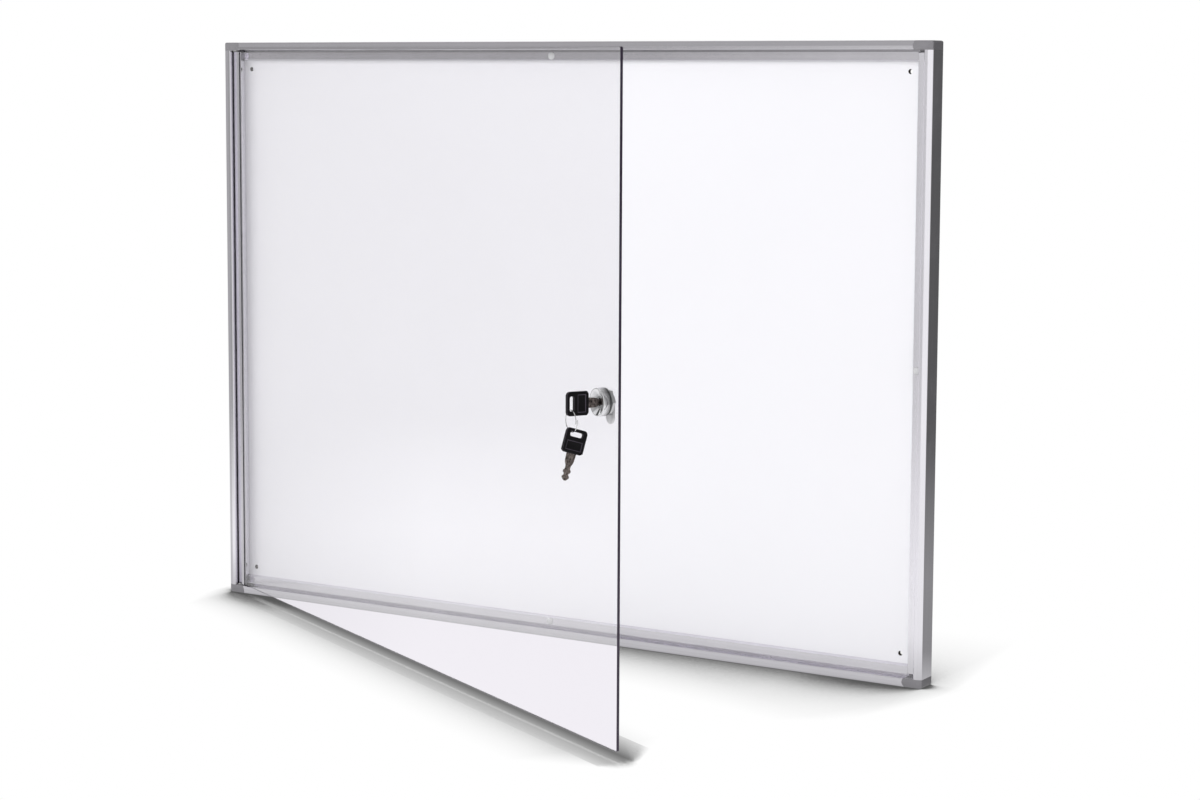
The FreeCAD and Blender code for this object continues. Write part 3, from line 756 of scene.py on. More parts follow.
@dataclass
class ContactShadow:
    """The shadow on the floor: wide in front of the case, narrow along the open door.

    A fade is where it starts, where it ends and the level that it ends at, in metres.

    Attributes:
        case_reach: How far it looks for the object in front of the case.
        door_reach: How far it looks beyond the door.
        beside_case: How its reach fades past the case's two sides.
        case_end: How its strength changes toward the two sides.
        past_door: How its reach fades along the door, past the free edge.
        levels: The floor's level by the share of free air above it.
        sheet_line: Where the line under the door's sheet is, in front of the hinge.
        sheet_half: Half the width of that line.
        sheet_levels: The line's levels, in its middle and at its sides.
        sheet_start: Over which length along the door the line sets in.
        sheet_air: Over which shares of free air the line fades out.
    """

    case_reach: float = 0.27
    door_reach: float = 0.09
    beside_case: Fade = (-0.005, 0.03, 0.15)
    case_end: Fade = (-0.15, 0.0, 1.3)
    past_door: Fade = (0.88, 0.95, 0.25)
    levels: tuple[Pair, ...] = ((0.5, 0.10), (0.535, 0.15), (0.565, 0.27), (0.60, 0.42), (0.64, 0.58),
                                (0.68, 0.69), (0.76, 0.81), (0.84, 0.90), (0.92, 0.95), (1.0, 1.0))
    sheet_line: float = -0.017
    sheet_half: float = 0.039
    sheet_levels: Pair = (0.17, 0.68)
    sheet_start: float = 0.03
    sheet_air: Pair = (0.93, 0.99)

    def level(self, sketch: Sketch, place: Socket) -> Socket:
        """The floor's level near the object.

        Args:
            sketch: The floor's node tree.
            place: The floor's coordinates.

        Returns:
            A level from 0 to 1.
        """
        axes = lock_frame().to_3x3()
        away = sketch.vector("SUBTRACT", place, joint_of("door_hinge")["pos_m"])
        ahead = sketch.vector("DOT_PRODUCT", away, -axes.col[1])
        along = sketch.vector("DOT_PRODUCT", away, axes.col[0])
        across = sketch.math("ABSOLUTE", sketch.node("SeparateXYZ", {0: place}).outputs["X"])
        side = CAD_BOX[1].x
        kept = sketch.times(sketch.fade(across, self.beside_case, side), sketch.fade(along, self.past_door))
        reach = sketch.times(kept, sketch.span(ahead, -self.case_reach, -self.door_reach, self.case_reach,
                                               self.door_reach))
        air = sketch.node("AmbientOcclusion", {"Distance": reach}, samples=AIR_SAMPLES).outputs["AO"]
        free = sketch.rest(sketch.times(sketch.fade(across, self.case_end, side), sketch.rest(air)))
        apart = sketch.math("ABSOLUTE", sketch.math("SUBTRACT", ahead, self.sheet_line))
        under = sketch.span(apart, 0.0, self.sheet_half, *self.sheet_levels)
        inside = sketch.times(sketch.math("LESS_THAN", apart, self.sheet_half),
                              sketch.span(along, 0.0, self.sheet_start))
        near = sketch.times(inside, sketch.span(free, *self.sheet_air, 1.0, 0.0))
        line = sketch.rest(sketch.times(near, sketch.rest(under)))
        return sketch.math("MINIMUM", sketch.ramp(free, self.levels), line)


@dataclass
class Studio:
    """A white room: pale floor, soft light from the front left, and a dark side behind the right.

    A stop of the room's light is a bearing and a level. The bearing runs in degrees from straight
    in front of the object, at 0, over its right side, at 90.

    Attributes:
        floor_z: The height of the floor.
        floor_half: Half the floor's width.
        floor_fade: Between which distances a surface loses sight of the floor.
        floor_light: How the floor's light on a surface falls off toward the wall.
        behind_sheet: The colour of the floor and the room through the clear sheet.
        bright_side: The direction that the soft light comes from.
        soft_room: The soft light's levels, from the dark side to the bright one.
        level_room: What metal mirrors near the horizon.
        upper_room: What metal mirrors higher up.
        upper_from: Over which heights of a direction the upper room takes over.
        lamps: Their names, places, sizes and powers.
    """

    floor_z: float
    floor_half: float = 40.0
    floor_fade: Pair = (1.0, 2.2)
    floor_light: Fade = (-0.25, 0.15, 0.3)
    behind_sheet: Colour = (0.876, 0.849, 0.903)
    bright_side: Place = (-0.42, -0.907, 0.0)
    soft_room: tuple[Pair, ...] = ((0.0, 0.16), (0.3, 0.2), (0.5, 0.48), (0.7, 0.75), (1.0, 0.95))
    level_room: tuple[Pair, ...] = (
        (-180, 0.40), (-146, 0.06), (-134, 0.06), (-130, 1.2), (-115, 1.2), (-108, 0.50), (-60, 0.40),
        (-40, 0.38), (-33, 0.42), (-28, 0.60), (-24, 0.78), (-8, 0.90), (15, 1.10), (40, 0.85),
        (93, 0.45), (130, 0.25), (156, 0.10), (170, 0.20), (180, 0.40))
    upper_room: tuple[Pair, ...] = (
        (-180, 0.45), (-124, 0.45), (-120, 1.4), (-106, 1.4), (-102, 0.08), (-88, 0.08), (-84, 0.9),
        (-66, 0.9), (-60, 0.47), (-20, 0.55), (10, 1.0), (40, 0.8), (90, 0.4), (150, 0.3), (180, 0.45))
    upper_from: Pair = (0.12, 0.2)
    lamps: tuple[tuple[str, Place, Pair, float], ...] = (
        ("key_light", (-1.9, -3.2, 2.2), (2.6, 2.0), 34.0),
        ("fill_light", (0.9, -3.6, 1.4), (3.0, 3.0), 19.0),
        ("back_light", (-2.4, 3.0, 1.8), (2.6, 2.0), 40.0))

    def build(self) -> None:
        """Lights the object, lays the floor and sets the camera."""
        self.world()
        self.floor()
        for lamp in self.lamps:
            self.lamp(*lamp)
        Viewpoint().build()
        bpy.context.scene.view_settings.view_transform = "Standard"

    @staticmethod
    def straight_through(sketch: Sketch, rays: Outputs) -> Socket:
        """1 for a ray that has come from the camera through clear things only, by a Light Path node."""
        bounces = sketch.plus(rays["Glossy Depth"], rays["Diffuse Depth"])
        return sketch.times(rays["Is Transmission Ray"], sketch.math("LESS_THAN", bounces, 0.5))

    def world(self) -> None:
        """White to the camera; to a surface, a soft room that falls off away from the bright side."""
        world = bpy.data.worlds.new("studio")
        bpy.context.scene.world = world
        sketch = Sketch.over(world)
        toward = sketch.node("TexCoord").outputs["Generated"]
        right, back, up = sketch.node("SeparateXYZ", {0: toward}).outputs
        bearing = sketch.math("ARCTAN2", right, sketch.times(back, -1.0))
        turn = sketch.span(bearing, -math.pi, math.pi)
        rooms = [sketch.ramp(turn, [((degrees + 180) / 360, level) for degrees, level in stops])
                 for stops in (self.level_room, self.upper_room)]
        gloss = sketch.blend(sketch.span(up, *self.upper_from), *rooms)
        side = sketch.vector("DOT_PRODUCT", toward, self.bright_side)
        soft = sketch.ramp(sketch.span(side, -1.0, 1.0), self.soft_room)
        rays = sketch.node("LightPath").outputs
        mirrored = sketch.math("MAXIMUM", rays["Is Glossy Ray"],
                               sketch.math("GREATER_THAN", rays["Glossy Depth"], 0.5))
        level = sketch.blend(mirrored, soft, gloss)
        level = sketch.blend(self.straight_through(sketch, rays), level, self.behind_sheet)
        level = sketch.blend(rays["Is Camera Ray"], level, (1.0, 1.0, 1.0))
        sky = sketch.node("Background", {"Color": level, "Strength": 1.0})
        sketch.feed(sketch.node("OutputWorld"), "Surface", sky.outputs[0])

    def floor(self) -> None:
        """The pale floor, with the object's contact shadow. Far off, a surface sees the room instead."""
        bm = bmesh.new()
        bmesh.ops.create_grid(bm, x_segments=1, y_segments=1, size=self.floor_half,
                              matrix=Matrix.Translation((0.0, 0.0, self.floor_z)))
        floor = shown("floor", settled("floor", bm))
        material = bpy.data.materials.new("pale_floor")
        sketch = Sketch.over(material)
        place = sketch.node("TexCoord").outputs["Object"]
        rays = sketch.node("LightPath").outputs
        through = self.straight_through(sketch, rays)
        seen = sketch.math("MAXIMUM", rays["Is Camera Ray"], through)
        light = sketch.fade(sketch.node("SeparateXYZ", {0: place}).outputs["Y"], self.floor_light)
        level = sketch.blend(through, light, self.behind_sheet)
        level = sketch.blend(rays["Is Camera Ray"], level, ContactShadow().level(sketch, place))
        glow = sketch.node("Emission", {"Color": level, "Strength": 1.0})
        far = sketch.span(sketch.vector("LENGTH", place), *self.floor_fade)
        both = sketch.node("MixShader", {0: sketch.times(far, sketch.rest(seen)), 1: glow.outputs[0],
                                         2: sketch.node("BsdfTransparent").outputs[0]})
        sketch.feed(sketch.node("OutputMaterial"), "Surface", both.outputs[0])
        floor.data.materials.append(material)

    @staticmethod
    def lamp(name: str, place: Place, size: Pair, power: float) -> None:
        """A large soft lamp that points at the object.

        Args:
            name: The lamp's name.
            place: Where it hangs, in metres.
            size: Its width and height, in metres.
            power: Its power in watts.
        """
        data = bpy.data.lights.new(name, "AREA")
        data.shape = "RECTANGLE"
        data.size, data.size_y = size
        data.energy = power
        lamp = shown(name, data)
        lamp.location = place
        lamp.rotation_euler = (-Vector(place)).to_track_quat("-Z", "Y").to_euler()
        lamp.visible_glossy = False
        lamp.visible_camera = False


def soften(bm: Mesh, width: float, angle: float = 28.0) -> None:
    """Rounds every edge that turns by more than an angle, and marks the rounding for lighter edges: wear,
    and painted highlight.

    Args:
        bm: The mesh.
        width: How far the rounding runs from the edge, in metres.
        angle: The least turn, in degrees.
    """
    edge_marks = bm.faces.layers.float.get(EDGE_WEAR_AND_HIGHLIGHT) or bm.faces.layers.float.new(EDGE_WEAR_AND_HIGHLIGHT)
    sharp = [edge for edge in bm.edges
             if edge.is_manifold and edge.calc_face_angle() > math.radians(angle)]
    made = bmesh.ops.bevel(bm, geom=sharp, offset=width, offset_type="OFFSET", affect="EDGES",
                           segments=ROUNDING_STRIPS, profile=0.5, material=-1, clamp_overlap=True)
    for face in made["faces"]:
        face[edge_marks] = 1.0


def join_flat(bm: Mesh, **limits: object) -> None:
    """Joins faces that lie in one plane, and drops the edges between them."""
    bmesh.ops.dissolve_limit(bm, angle_limit=FLAT, verts=bm.verts, edges=bm.edges, **limits)


def score(bm: Mesh, axis: Sequence[float], places: Iterable[float]) -> None:
    """Cuts new edges round a mesh, without taking anything away.

    Args:
        bm: The mesh.
        axis: The direction that the cutting planes are square to.
        places: How far along it each plane stands.
    """
    normal = Vector(axis)
    for place in places:
        everything = bm.verts[:] + bm.edges[:] + bm.faces[:]
        bmesh.ops.bisect_plane(bm, geom=everything, dist=MERGE, plane_co=normal * place, plane_no=normal)


def sink(bm: Mesh, half: float, rises: Pair, half_height: float, wall: float, depth: float) -> None:
    """Sinks a rectangle of faces into both sides of a plate that stands across X.

    Args:
        bm: The mesh.
        half: Half the plate's thickness.
        rises: The rectangle's least and greatest rise.
        half_height: Half its height along Z.
        wall: How far its walls slope inward.
        depth: How deep it is.
    """
    for side in (-half, half):
        low = (side - MERGE, -rises[1], -half_height)
        high = (side + MERGE, -rises[0], half_height)
        sunk = [face for face in bm.faces
                if all(a <= c <= b for a, c, b in zip(low, face.calc_center_median(), high))]
        bmesh.ops.inset_region(bm, faces=sunk, thickness=wall, depth=-depth, use_even_offset=True)


def thicken(bm: Mesh, along: Vector) -> None:
    """Extrudes a flat mesh into a closed plate.

    Args:
        bm: The mesh.
        along: From one face of the plate to the other.
    """
    lifted = bmesh.ops.extrude_face_region(bm, geom=bm.faces[:])
    moved = [item for item in lifted["geom"] if isinstance(item, bmesh.types.BMVert)]
    bmesh.ops.translate(bm, verts=moved, vec=along)
    bmesh.ops.recalc_face_normals(bm, faces=bm.faces)


def pierced_plate(bm: Mesh, along: Vector, outline: Sequence[Vector], hole: Sequence[Vector],
                  panel: Sequence[Vector] = ()) -> None:
    """A plate with a hole through it, and perhaps a panel marked out on both of its faces.

    Args:
        bm: An empty mesh.
        along: From one face of the plate to the other.
        outline: The plate's own outline, all in one plane.
        hole: The hole's outline.
        panel: The panel's outline, where there is one.
    """
    corners = []
    for points in filter(None, (outline, hole, panel)):
        corners = [bm.verts.new(point) for point in points]
        for pair in zip(corners, corners[1:] + corners[:1]):
            bm.edges.new(pair)
    bmesh.ops.triangle_fill(bm, edges=bm.edges[:], use_beauty=True)
    if panel:
        bm.faces.new(corners)
    thicken(bm, along)


def lathe(bm: Mesh, profile: Sequence[Pair], steps: int) -> None:
    """Turns a profile once round the Y axis, and closes it.

    Args:
        bm: The mesh that it goes in.
        profile: Its radii and rises.
        steps: How many steps a full turn has.
    """
    points = [bm.verts.new((radius, -rise, 0.0)) for radius, rise in profile]
    edges = [bm.edges.new(pair) for pair in zip(points, points[1:])]
    if profile[0][0] > 0.0:
        edges.append(bm.edges.new((points[-1], points[0])))
    bmesh.ops.spin(bm, geom=points + edges, cent=(0.0, 0.0, 0.0), axis=(0.0, 1.0, 0.0),
                   angle=2 * math.pi, steps=steps, use_merge=True)
    bmesh.ops.remove_doubles(bm, verts=bm.verts, dist=MERGE)
    bmesh.ops.recalc_face_normals(bm, faces=bm.faces)


def arc(middle: Pair, radius: float, start: float, end: float, steps: int = 6) -> list[Pair]:
    """Points on an arc of a profile, for angles in degrees."""
    angles = [math.radians(start + (end - start) * i / steps) for i in range(steps + 1)]
    return [(middle[0] + radius * math.cos(a), middle[1] + radius * math.sin(a)) for a in angles]


def rounded(middle: Pair, half: Pair, radius: float) -> list[Pair]:
    """Points round a rectangle with rounded corners.

    Args:
        middle: Its middle.
        half: Its half sizes.
        radius: The radius of its corners.

    Returns:
        The points, in order.
    """
    points = []
    for turn, (u, v) in enumerate(((1, 1), (-1, 1), (-1, -1), (1, -1))):
        centre = (middle[0] + u * (half[0] - radius), middle[1] + v * (half[1] - radius))
        points += arc(centre, radius, 90.0 * turn, 90.0 * (turn + 1))
    return points


def both_edges(upper: list[Pair]) -> list[Pair]:
    """A whole outline from the points of its upper half."""
    return upper + [(rise, -z) for rise, z in reversed(upper)]


@dataclass
class Piece:
    """One finished piece: what it is called, what it stands for and what it moves with."""

    name: str
    node: str
    body: str
    slot: str
    finish: Finish

    def place(self, bm: Mesh, where: Optional[Matrix] = None) -> bpy.types.Object:
        """Makes the mesh an object in the row frame, hangs it on its body and hides the node that it stands
        for.

        Args:
            bm: The shape, which is used up.
            where: A matrix that takes it to the row frame at rest.

        Returns:
            The finished piece.
        """
        if where is not None:
            bmesh.ops.transform(bm, matrix=where, verts=bm.verts)
        bmesh.ops.remove_doubles(bm, verts=bm.verts, dist=MERGE)
        bmesh.ops.recalc_face_normals(bm, faces=bm.faces)
        mesh = settled(self.name, bm)
        mesh.polygons.foreach_set("use_smooth", [True] * len(mesh.polygons))
        mesh.set_sharp_from_angle(angle=SHARP)
        mesh.materials.append(self.finish.material())
        made = shown(self.name, mesh)
        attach(made, self.body)
        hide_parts(self.node)
        low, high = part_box(self.node)
        corners = [vertex.co for vertex in mesh.vertices]
        off = max(max(abs(min(c[i] for c in corners) - low[i]), abs(max(c[i] for c in corners) - high[i]))
                  for i in range(3))
        log.info("%s: %d faces, within %.2f mm of %s", self.name, len(mesh.polygons), off / MM, self.node)
        return made

    def softened(self, width: float) -> None:
        """Makes the piece from the node's own shape, with whole faces and rounded edges.

        Args:
            width: How far the rounding runs from an edge, in metres.
        """
        bm = bmesh.new()
        bm.from_mesh(frame["nodes"][self.node].data)
        bmesh.ops.remove_doubles(bm, verts=bm.verts, dist=MERGE)
        join_flat(bm, delimit={"NORMAL"})
        soften(bm, width)
        self.place(bm)


def dress(node: str, finish: Finish) -> None:
    """Gives a CAD node its finish, and leaves its shape as it is.

    Args:
        node: The node's name.
        finish: Its finish.
    """
    piece = frame["nodes"][node]
    material = finish.material()
    if not piece.material_slots:
        piece.data.materials.append(material)
    for held in piece.material_slots:
        held.material = material
    log.info("%s: keeps its shape, finished in %s", node, finish.name)


@dataclass
class Case:
    """The case that stays on the wall: four aluminium lengths, four caps, panel, bumpers."""

    # The top rail's aluminium is painted darker than the rest, as painted shade on the top; the copies also
    # paint different amounts of shade into their inner corners, least on the upturned sill.
    shaded_head_finish: Finish = SatinAluminium("satin_aluminium_head_shaded", (0.69, 0.675, 0.715), 0.14)
    sill_finish: Finish = SatinAluminium("satin_aluminium_sill", (0.80, 0.785, 0.83), 0.16,
                                         corner_shade_tone=0.85)
    stile_finish: Finish = SatinAluminium("satin_aluminium_stile", (0.80, 0.785, 0.83), 0.13,
                                          run=Run.ALONG_Z, corner_shade_tone=0.7)
    cap_finish: Finish = MouldedPlastic("cap_plastic", (0.235, 0.228, 0.245), 0.5)
    panel_finish: Finish = EnamelledSteel("white_enamel", (0.912, 0.906, 0.943), 0.35)
    core_finish: Finish = PressedBoard("pressed_fibre", (0.06, 0.045, 0.035), 0.8)
    back_finish: Finish = GalvanisedSheet("galvanised_back", (0.62, 0.63, 0.64), 0.42)
    screw_finish: Finish = PlatedMetal("zinc_screws", (0.66, 0.66, 0.64), 0.3)
    bush_finish: Finish = MouldedPlastic("nylon_bush", (0.80, 0.80, 0.77), 0.4, tones=(0.97, 1.03))
    bumper_finish: Finish = ClearRubber("clear_bumper", (0.93, 0.93, 0.95), 0.15)
    bumper_radius: float = 4.25 * MM
    bumper_height: float = 1.6 * MM
    bumper_foot: float = 0.4 * MM
    bumper_by_lock: float = -4.0 * MM
    bumper_steps: int = 32
    cap_edge: float = 0.35 * MM

    def build(self) -> None:
        """Dresses the nodes and makes the rounded pieces."""
        for node, finish in (("top_rail", self.shaded_head_finish), ("bottom_rail", self.sill_finish),
                             ("left_stile", self.stile_finish), ("right_stile", self.stile_finish),
                             ("steel_face_sheet", self.panel_finish), ("core_board", self.core_finish),
                             ("back_sheet", self.back_finish), ("corner_screws", self.screw_finish)):
            dress(node, finish)
        for end in ("top", "bottom"):
            dress(f"hinge_bush_{end}", self.bush_finish)
            for side in ("left", "right"):
                node = f"corner_cap_{end}_{side}"
                Piece(f"{node}_moulding", node, "frame", "cap_grey", self.cap_finish).softened(self.cap_edge)
        self.bumpers()

    def bumpers(self) -> None:
        """Three clear domes on the shelf."""
        low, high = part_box("bumpers")
        radius, height, foot = self.bumper_radius, self.bumper_height, self.bumper_foot
        rise = height - foot
        ball = (radius ** 2 + rise ** 2) / (2 * rise)
        half_angle = math.degrees(math.asin(radius / ball))
        dome = arc((0.0, height - ball), ball, 90.0 - half_angle, 90.0, self.bumper_steps // 4)[1:-1]
        bm = bmesh.new()
        for x, z in ((0.0, high.z - radius), (0.0, low.z + radius), (high.x - radius, self.bumper_by_lock)):
            one = bmesh.new()
            lathe(one, [(0.0, 0.0), (radius, 0.0), (radius, foot), *dome, (0.0, height)],
                  self.bumper_steps)
            bmesh.ops.translate(one, verts=one.verts, vec=(x, high.y, z))
            part = settled("bumper_dome", one)
            bm.from_mesh(part)
            bpy.data.meshes.remove(part)
        Piece("bumper_domes", "bumpers", "frame", "clear_rubber", self.bumper_finish).place(bm)


@dataclass
class Door:
    """The clear sheet, whose edges are measured from the lock's axis, and the profile that it hangs in."""

    profile_finish: Finish = SatinAluminium("satin_aluminium_hinge", (0.80, 0.785, 0.83), 0.13,
                                            run=Run.ALONG_Z, corner_shade_tone=0.7)
    strip_finish: Finish = MouldedPlastic("glazing_rubber", (0.055, 0.055, 0.06), 0.6)
    pin_finish: Finish = PlatedMetal("ground_pin", (0.6, 0.6, 0.6), 0.22)
    face_finish: Finish = ClearSheet("clear_acrylic", (0.985, 0.98, 0.99), 0.0)
    # The edges are an opaque violet black colour: painted reflection of the dark room, not the clear
    # acrylic's own colour.
    edge_finish: Finish = SawnEdge("sawn_acrylic_edge", (0.022, 0.012, 0.032), 0.3)
    hinge_edge: float = 915.8 * MM
    free_edge: float = 25.0 * MM
    half_height: float = 338.5 * MM
    corner: float = 2.0 * MM
    lock_hole: float = 8.25 * MM
    hole_steps: int = 64
    thickness: float = 3.0 * MM
    arris: float = 0.2 * MM

    def build(self) -> None:
        """Makes the sheet and dresses the door's other nodes."""
        self.sheet()
        dress("hinge_profile", self.profile_finish)
        dress("glazing_strips", self.strip_finish)
        for end in ("top", "bottom"):
            dress(f"hinge_pin_{end}", self.pin_finish)

    def sheet(self) -> None:
        """The clear sheet, with its two faces clear and its edges painted dark, a painted reflection of the
        room's dark.
        """
        piece = Piece("clear_door_panel", "door_sheet", "door", "clear_sheet", self.face_finish)
        middle = ((self.free_edge - self.hinge_edge) / 2, 0.0)
        half = ((self.free_edge + self.hinge_edge) / 2, self.half_height)
        outline = rounded(middle, half, self.corner)
        hole = arc((0.0, 0.0), self.lock_hole, 0.0, 360.0, self.hole_steps)[:-1]
        bm = bmesh.new()
        pierced_plate(bm, Vector((0.0, self.thickness - 2 * self.arris, 0.0)),
                      *([Vector((x, self.arris, z)) for x, z in loop] for loop in (outline, hole)))
        for face in bm.faces:
            face.material_index = 1
        for depth in (self.arris, self.thickness - self.arris):
            level = [face for face in bm.faces if all(abs(v.co.y - depth) < MERGE for v in face.verts)]
            bmesh.ops.inset_region(bm, faces=level, thickness=self.arris, depth=self.arris,
                                   use_even_offset=True)
            for face in level:
                face.material_index = 0
        piece.place(bm, lock_frame()).data.materials.append(self.edge_finish.material())


@dataclass
class CamLock:
    """The cam lock, as radii and rises from the sheet's front face."""

    # The chrome's long corner reach and very dark corner shade tone paint shade into the bezel's dish.
    chrome: Finish = PlatedMetal("polished_chrome", (0.80, 0.80, 0.82), 0.05, tones=(0.97, 1.04),
                                 spread=(0.0, 0.03), corner=14.0 * MM, corner_shade_tone=0.06)
    zinc: Finish = PlatedMetal("zinc_plate", (0.66, 0.66, 0.67), 0.28)
    brass: Finish = PlatedMetal("stamped_brass", (0.72, 0.55, 0.28), 0.25)
    washer: Finish = MouldedPlastic("grey_washer", (0.32, 0.32, 0.33), 0.5)
    seat: float = 0.5 * MM
    foot: float = 0.8 * MM
    flare: float = 1.4 * MM
    step: float = 0.4 * MM
    rim: float = 9.6 * MM
    rim_rounding: float = 0.8 * MM
    bezel: float = 14.0 * MM
    dish: float = 12.6 * MM
    dish_floor: float = 6.6 * MM
    plug_face: float = 6.0 * MM
    bore: float = 5.8 * MM
    barrel: float = 8.0 * MM
    barrel_back: float = -6.5 * MM
    housing_edge: float = 0.12 * MM
    housing_steps: int = 128
    fitting_edge: float = 0.2 * MM

    def build(self) -> None:
        """Turns the housing and rounds the fittings behind the sheet."""
        self.housing()
        dress("front_washer", self.washer)
        for node, body in (("rear_washer", "door"), ("lock_nut", "door"), ("cam", "lock_plug"),
                           ("cam_nut", "lock_plug")):
            Piece(f"{node}_plated", node, body, "lock_steel", self.zinc).softened(self.fitting_edge)
        dress("lock_plug", self.chrome)
        dress("lock_wafers", self.brass)

    def housing(self) -> None:
        """The bezel with its conical dish, and the barrel through the sheet."""
        profile = [(self.bore, self.barrel_back), (self.barrel - self.step, self.barrel_back),
                   (self.barrel, self.barrel_back + self.step), (self.barrel, self.seat),
                   (self.bezel - self.step, self.seat), (self.bezel - self.step, self.seat + self.foot),
                   (self.bezel, self.seat + self.flare)]
        profile += arc((self.bezel - self.rim_rounding, self.rim - self.rim_rounding), self.rim_rounding,
                       0.0, 90.0)
        profile += [(self.dish, self.rim), (self.dish_floor, self.plug_face), (self.bore, self.plug_face)]
        bm = bmesh.new()
        lathe(bm, profile, self.housing_steps)
        soften(bm, self.housing_edge)
        Piece("lock_bezel", "lock_housing", "door", "lock_chrome", self.chrome).place(bm, lock_frame())


@dataclass
class Key:
    """A key as it stands in the lock: distances run out from the sheet's front face.

    Attributes:
        cuts: The blade's upper edge, as millimetres in from the grip and half heights.
        grooves: The blade's grooves, as millimetres in from the grip, from and to, and half heights.
    """

    # The grip's edge tone of 34 paints bright highlight lines along its rounded black edges.
    grip_finish: Finish = MouldedPlastic("key_grip", (0.0035, 0.003, 0.004), 0.42, tones=(0.7, 1.3),
                                         depth=0.04 * MM, edge_wear_and_highlight_tone=34.0, specular=0.15)
    blade_finish: Finish = PlatedMetal("nickel_blade", (0.26, 0.22, 0.205), 0.22, tones=(0.25, 1.04),
                                       spread=(0.0, 0.12), clouds=420.0)
    near: float = 18.9 * MM
    length: float = 24.0 * MM
    half: float = 11.7 * MM
    thickness: float = 3.0 * MM
    corner: float = 4.0 * MM
    chamfer_out: float = 1.8 * MM
    chamfer_side: float = 2.6 * MM
    slot_from_far: float = 5.5 * MM
    slot_half: Pair = (2.3 * MM, 7.25 * MM)
    slot_corner: float = 2.0 * MM
    recess_near: float = 3.3 * MM
    recess_far: float = 12.0 * MM
    recess_half: float = 8.5 * MM
    recess_wall: float = 0.25 * MM
    recess_depth: float = 0.3 * MM
    grip_edge: float = 0.4 * MM
    metal: float = 1.9 * MM
    cuts: tuple[Pair, ...] = (
        (-11.0, 4.2), (0.0, 4.2), (0.0, 5.0), (7.0, 4.7), (9.5, 4.0), (12.0, 2.6), (15.0, 2.5),
        (16.6, 3.9), (18.4, 3.9), (19.8, 2.3), (21.2, 2.3), (22.4, 3.7), (23.8, 3.6), (25.6, 1.9),
        (26.5, 0.8))
    grooves: tuple[tuple[float, float, float], ...] = ((2.0, 9.0, 1.7), (11.0, 27.5, 0.6))
    groove_wall: float = 0.15 * MM
    groove_depth: float = 0.35 * MM
    blade_edge: float = 0.12 * MM
    least_turn: float = 40.0

    @property
    def slot_rise(self) -> float:
        """How far the middle of the ring's slot is from the sheet."""
        return self.near + self.length - self.slot_from_far

    def grip(self) -> Mesh:
        """The moulded grip: a slot for the ring, and a sunk panel on each face."""
        far = self.near + self.length
        half = self.thickness / 2
        upper = [(self.near, self.half - self.chamfer_side), (self.near + self.chamfer_out, self.half)]
        upper += arc((far - self.corner, self.half - self.corner), self.corner, 90.0, 0.0)
        slot = rounded((self.slot_rise, 0.0), self.slot_half, self.slot_corner)
        low, high = self.near + self.recess_near, self.near + self.recess_far
        panel = [(low, -self.recess_half), (high, -self.recess_half), (high, self.recess_half),
                 (low, self.recess_half)]
        bm = bmesh.new()
        pierced_plate(bm, Vector((self.thickness, 0.0, 0.0)),
                      *([Vector((-half, -rise, z)) for rise, z in loop]
                        for loop in (both_edges(upper), slot, panel)))
        sink(bm, half, (low, high), self.recess_half, self.recess_wall, self.recess_depth)
        join_flat(bm)
        soften(bm, self.grip_edge, angle=self.least_turn)
        return bm

    def blade(self) -> Mesh:
        """The flat blade, cut alike on both edges, with its two grooves."""
        half = self.metal / 2
        outline = both_edges([(self.near - inward * MM, z * MM) for inward, z in self.cuts])
        bm = bmesh.new()
        bm.faces.new([bm.verts.new((-half, -rise, z)) for rise, z in outline])
        thicken(bm, Vector((self.metal, 0.0, 0.0)))
        for start, end, tall in self.grooves:
            rises = (self.near - end * MM, self.near - start * MM)
            score(bm, (0.0, -1.0, 0.0), rises)
            score(bm, (0.0, 0.0, 1.0), (-tall * MM, tall * MM))
            sink(bm, half, rises, tall * MM, self.groove_wall, self.groove_depth)
        join_flat(bm)
        soften(bm, self.blade_edge, angle=self.least_turn)
        return bm

    def build(self, prefix: str, body: str, where: Matrix) -> None:
        """Makes one key.

        Args:
            prefix: What goes before the names of its two nodes.
            body: The body that it moves with.
            where: The matrix from a key that stands in the lock to the row frame.
        """
        Piece(f"{prefix}key_grip", f"{prefix}key_head", body, "key_black", self.grip_finish).place(
            self.grip(), where)
        Piece(f"{prefix}key_cut_blade", f"{prefix}key_blade", body, "key_nickel", self.blade_finish).place(
            self.blade(), where)


def leaning(degrees: float, middle: Vector) -> Matrix:
    """A turn about the sheet's own X, round a point."""
    return Matrix.Translation(middle) @ turned(degrees, "X") @ Matrix.Translation(-middle)


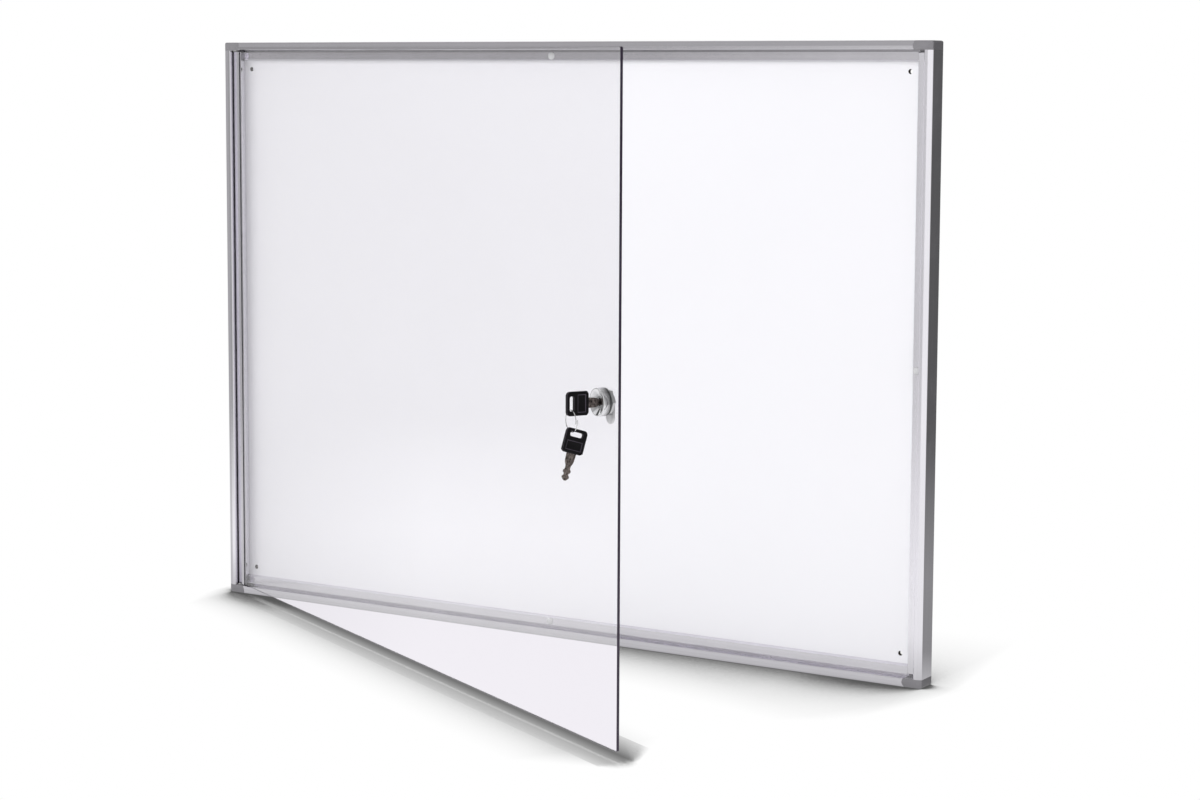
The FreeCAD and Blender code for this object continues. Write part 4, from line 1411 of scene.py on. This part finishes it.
@dataclass
class KeyRing:
    """The wire ring, its ends lapped side by side, and how the spare key hangs on it."""

    slot_rise: float
    finish: Finish = PlatedMetal("ring_wire", (0.72, 0.72, 0.73), 0.12, tones=(0.95, 1.04),
                                 spread=(0.0, 0.05))
    wire: float = 0.5 * MM
    wire_sides: int = 14
    end_rounding: float = 0.15 * MM
    end_turn: float = 60.0
    radius: float = 10.6 * MM
    turns: float = 1.061
    pitch: float = 1.7 * MM
    drop: float = 16.4 * MM
    tilt: float = 16.5
    shift: float = 5.7 * MM
    hang: float = 1.4 * MM
    steps: int = 180

    def rise_at(self, angle: float) -> float:
        """How far the wire is from the sheet, for an angle from the ring's top."""
        return self.slot_rise + self.pitch * (angle - 1.5 * math.pi) / (2 * math.pi)

    def build(self) -> None:
        """Spins the wire round the ring, with the pitch of its lap."""
        sweep = self.turns * 2 * math.pi
        first = math.pi / 2 - (sweep - 2 * math.pi) / 2
        centre = Vector((0.0, -self.rise_at(first), -self.drop))
        start = (Matrix.Translation(centre) @ Matrix.Rotation(first, 4, "Y")
                 @ Matrix.Translation((0.0, 0.0, self.radius)) @ Matrix.Rotation(math.pi / 2, 4, "Y"))
        bm = bmesh.new()
        bmesh.ops.create_circle(bm, cap_ends=False, segments=self.wire_sides, radius=self.wire,
                                matrix=start)
        bmesh.ops.spin(bm, geom=bm.verts[:] + bm.edges[:], cent=centre, axis=(0.0, 1.0, 0.0),
                       dvec=(0.0, -self.pitch * self.turns / self.steps, 0.0), angle=sweep,
                       steps=self.steps, use_merge=False)
        bmesh.ops.holes_fill(bm, edges=[edge for edge in bm.edges if edge.is_boundary], sides=0)
        bmesh.ops.recalc_face_normals(bm, faces=bm.faces)
        soften(bm, self.end_rounding, angle=self.end_turn)
        Piece("wire_ring", "key_ring", "ring", "key_nickel", self.finish).place(bm, lock_frame())

    def hanging(self) -> Matrix:
        """The matrix that hangs a key, drawn as it stands in the lock, on the ring's lowest point."""
        wire = Vector((0.0, -self.rise_at(math.pi), -self.drop - self.radius))
        slot = Vector((0.0, -self.slot_rise, 0.0))
        lower = Vector((0.0, 0.0, -self.hang))
        upright = leaning(-90.0, wire + lower) @ Matrix.Translation(wire - slot + lower)
        return leaning(-self.tilt, wire) @ Matrix.Translation((0.0, self.shift, 0.0)) @ upright


def main() -> None:
    """Builds and dresses every sub-assembly, then the studio round it."""
    logging.basicConfig(level=logging.INFO, format="%(name)s: %(message)s")
    Case().build()
    Door().build()
    CamLock().build()
    key = Key()
    ring = KeyRing(key.slot_rise)
    key.build("", "key", lock_frame())
    ring.build()
    key.build("spare_", "spare_key", lock_frame() @ ring.hanging())
    Studio(CAD_BOX[0].z).build()


if __name__ == "__main__":
    main()
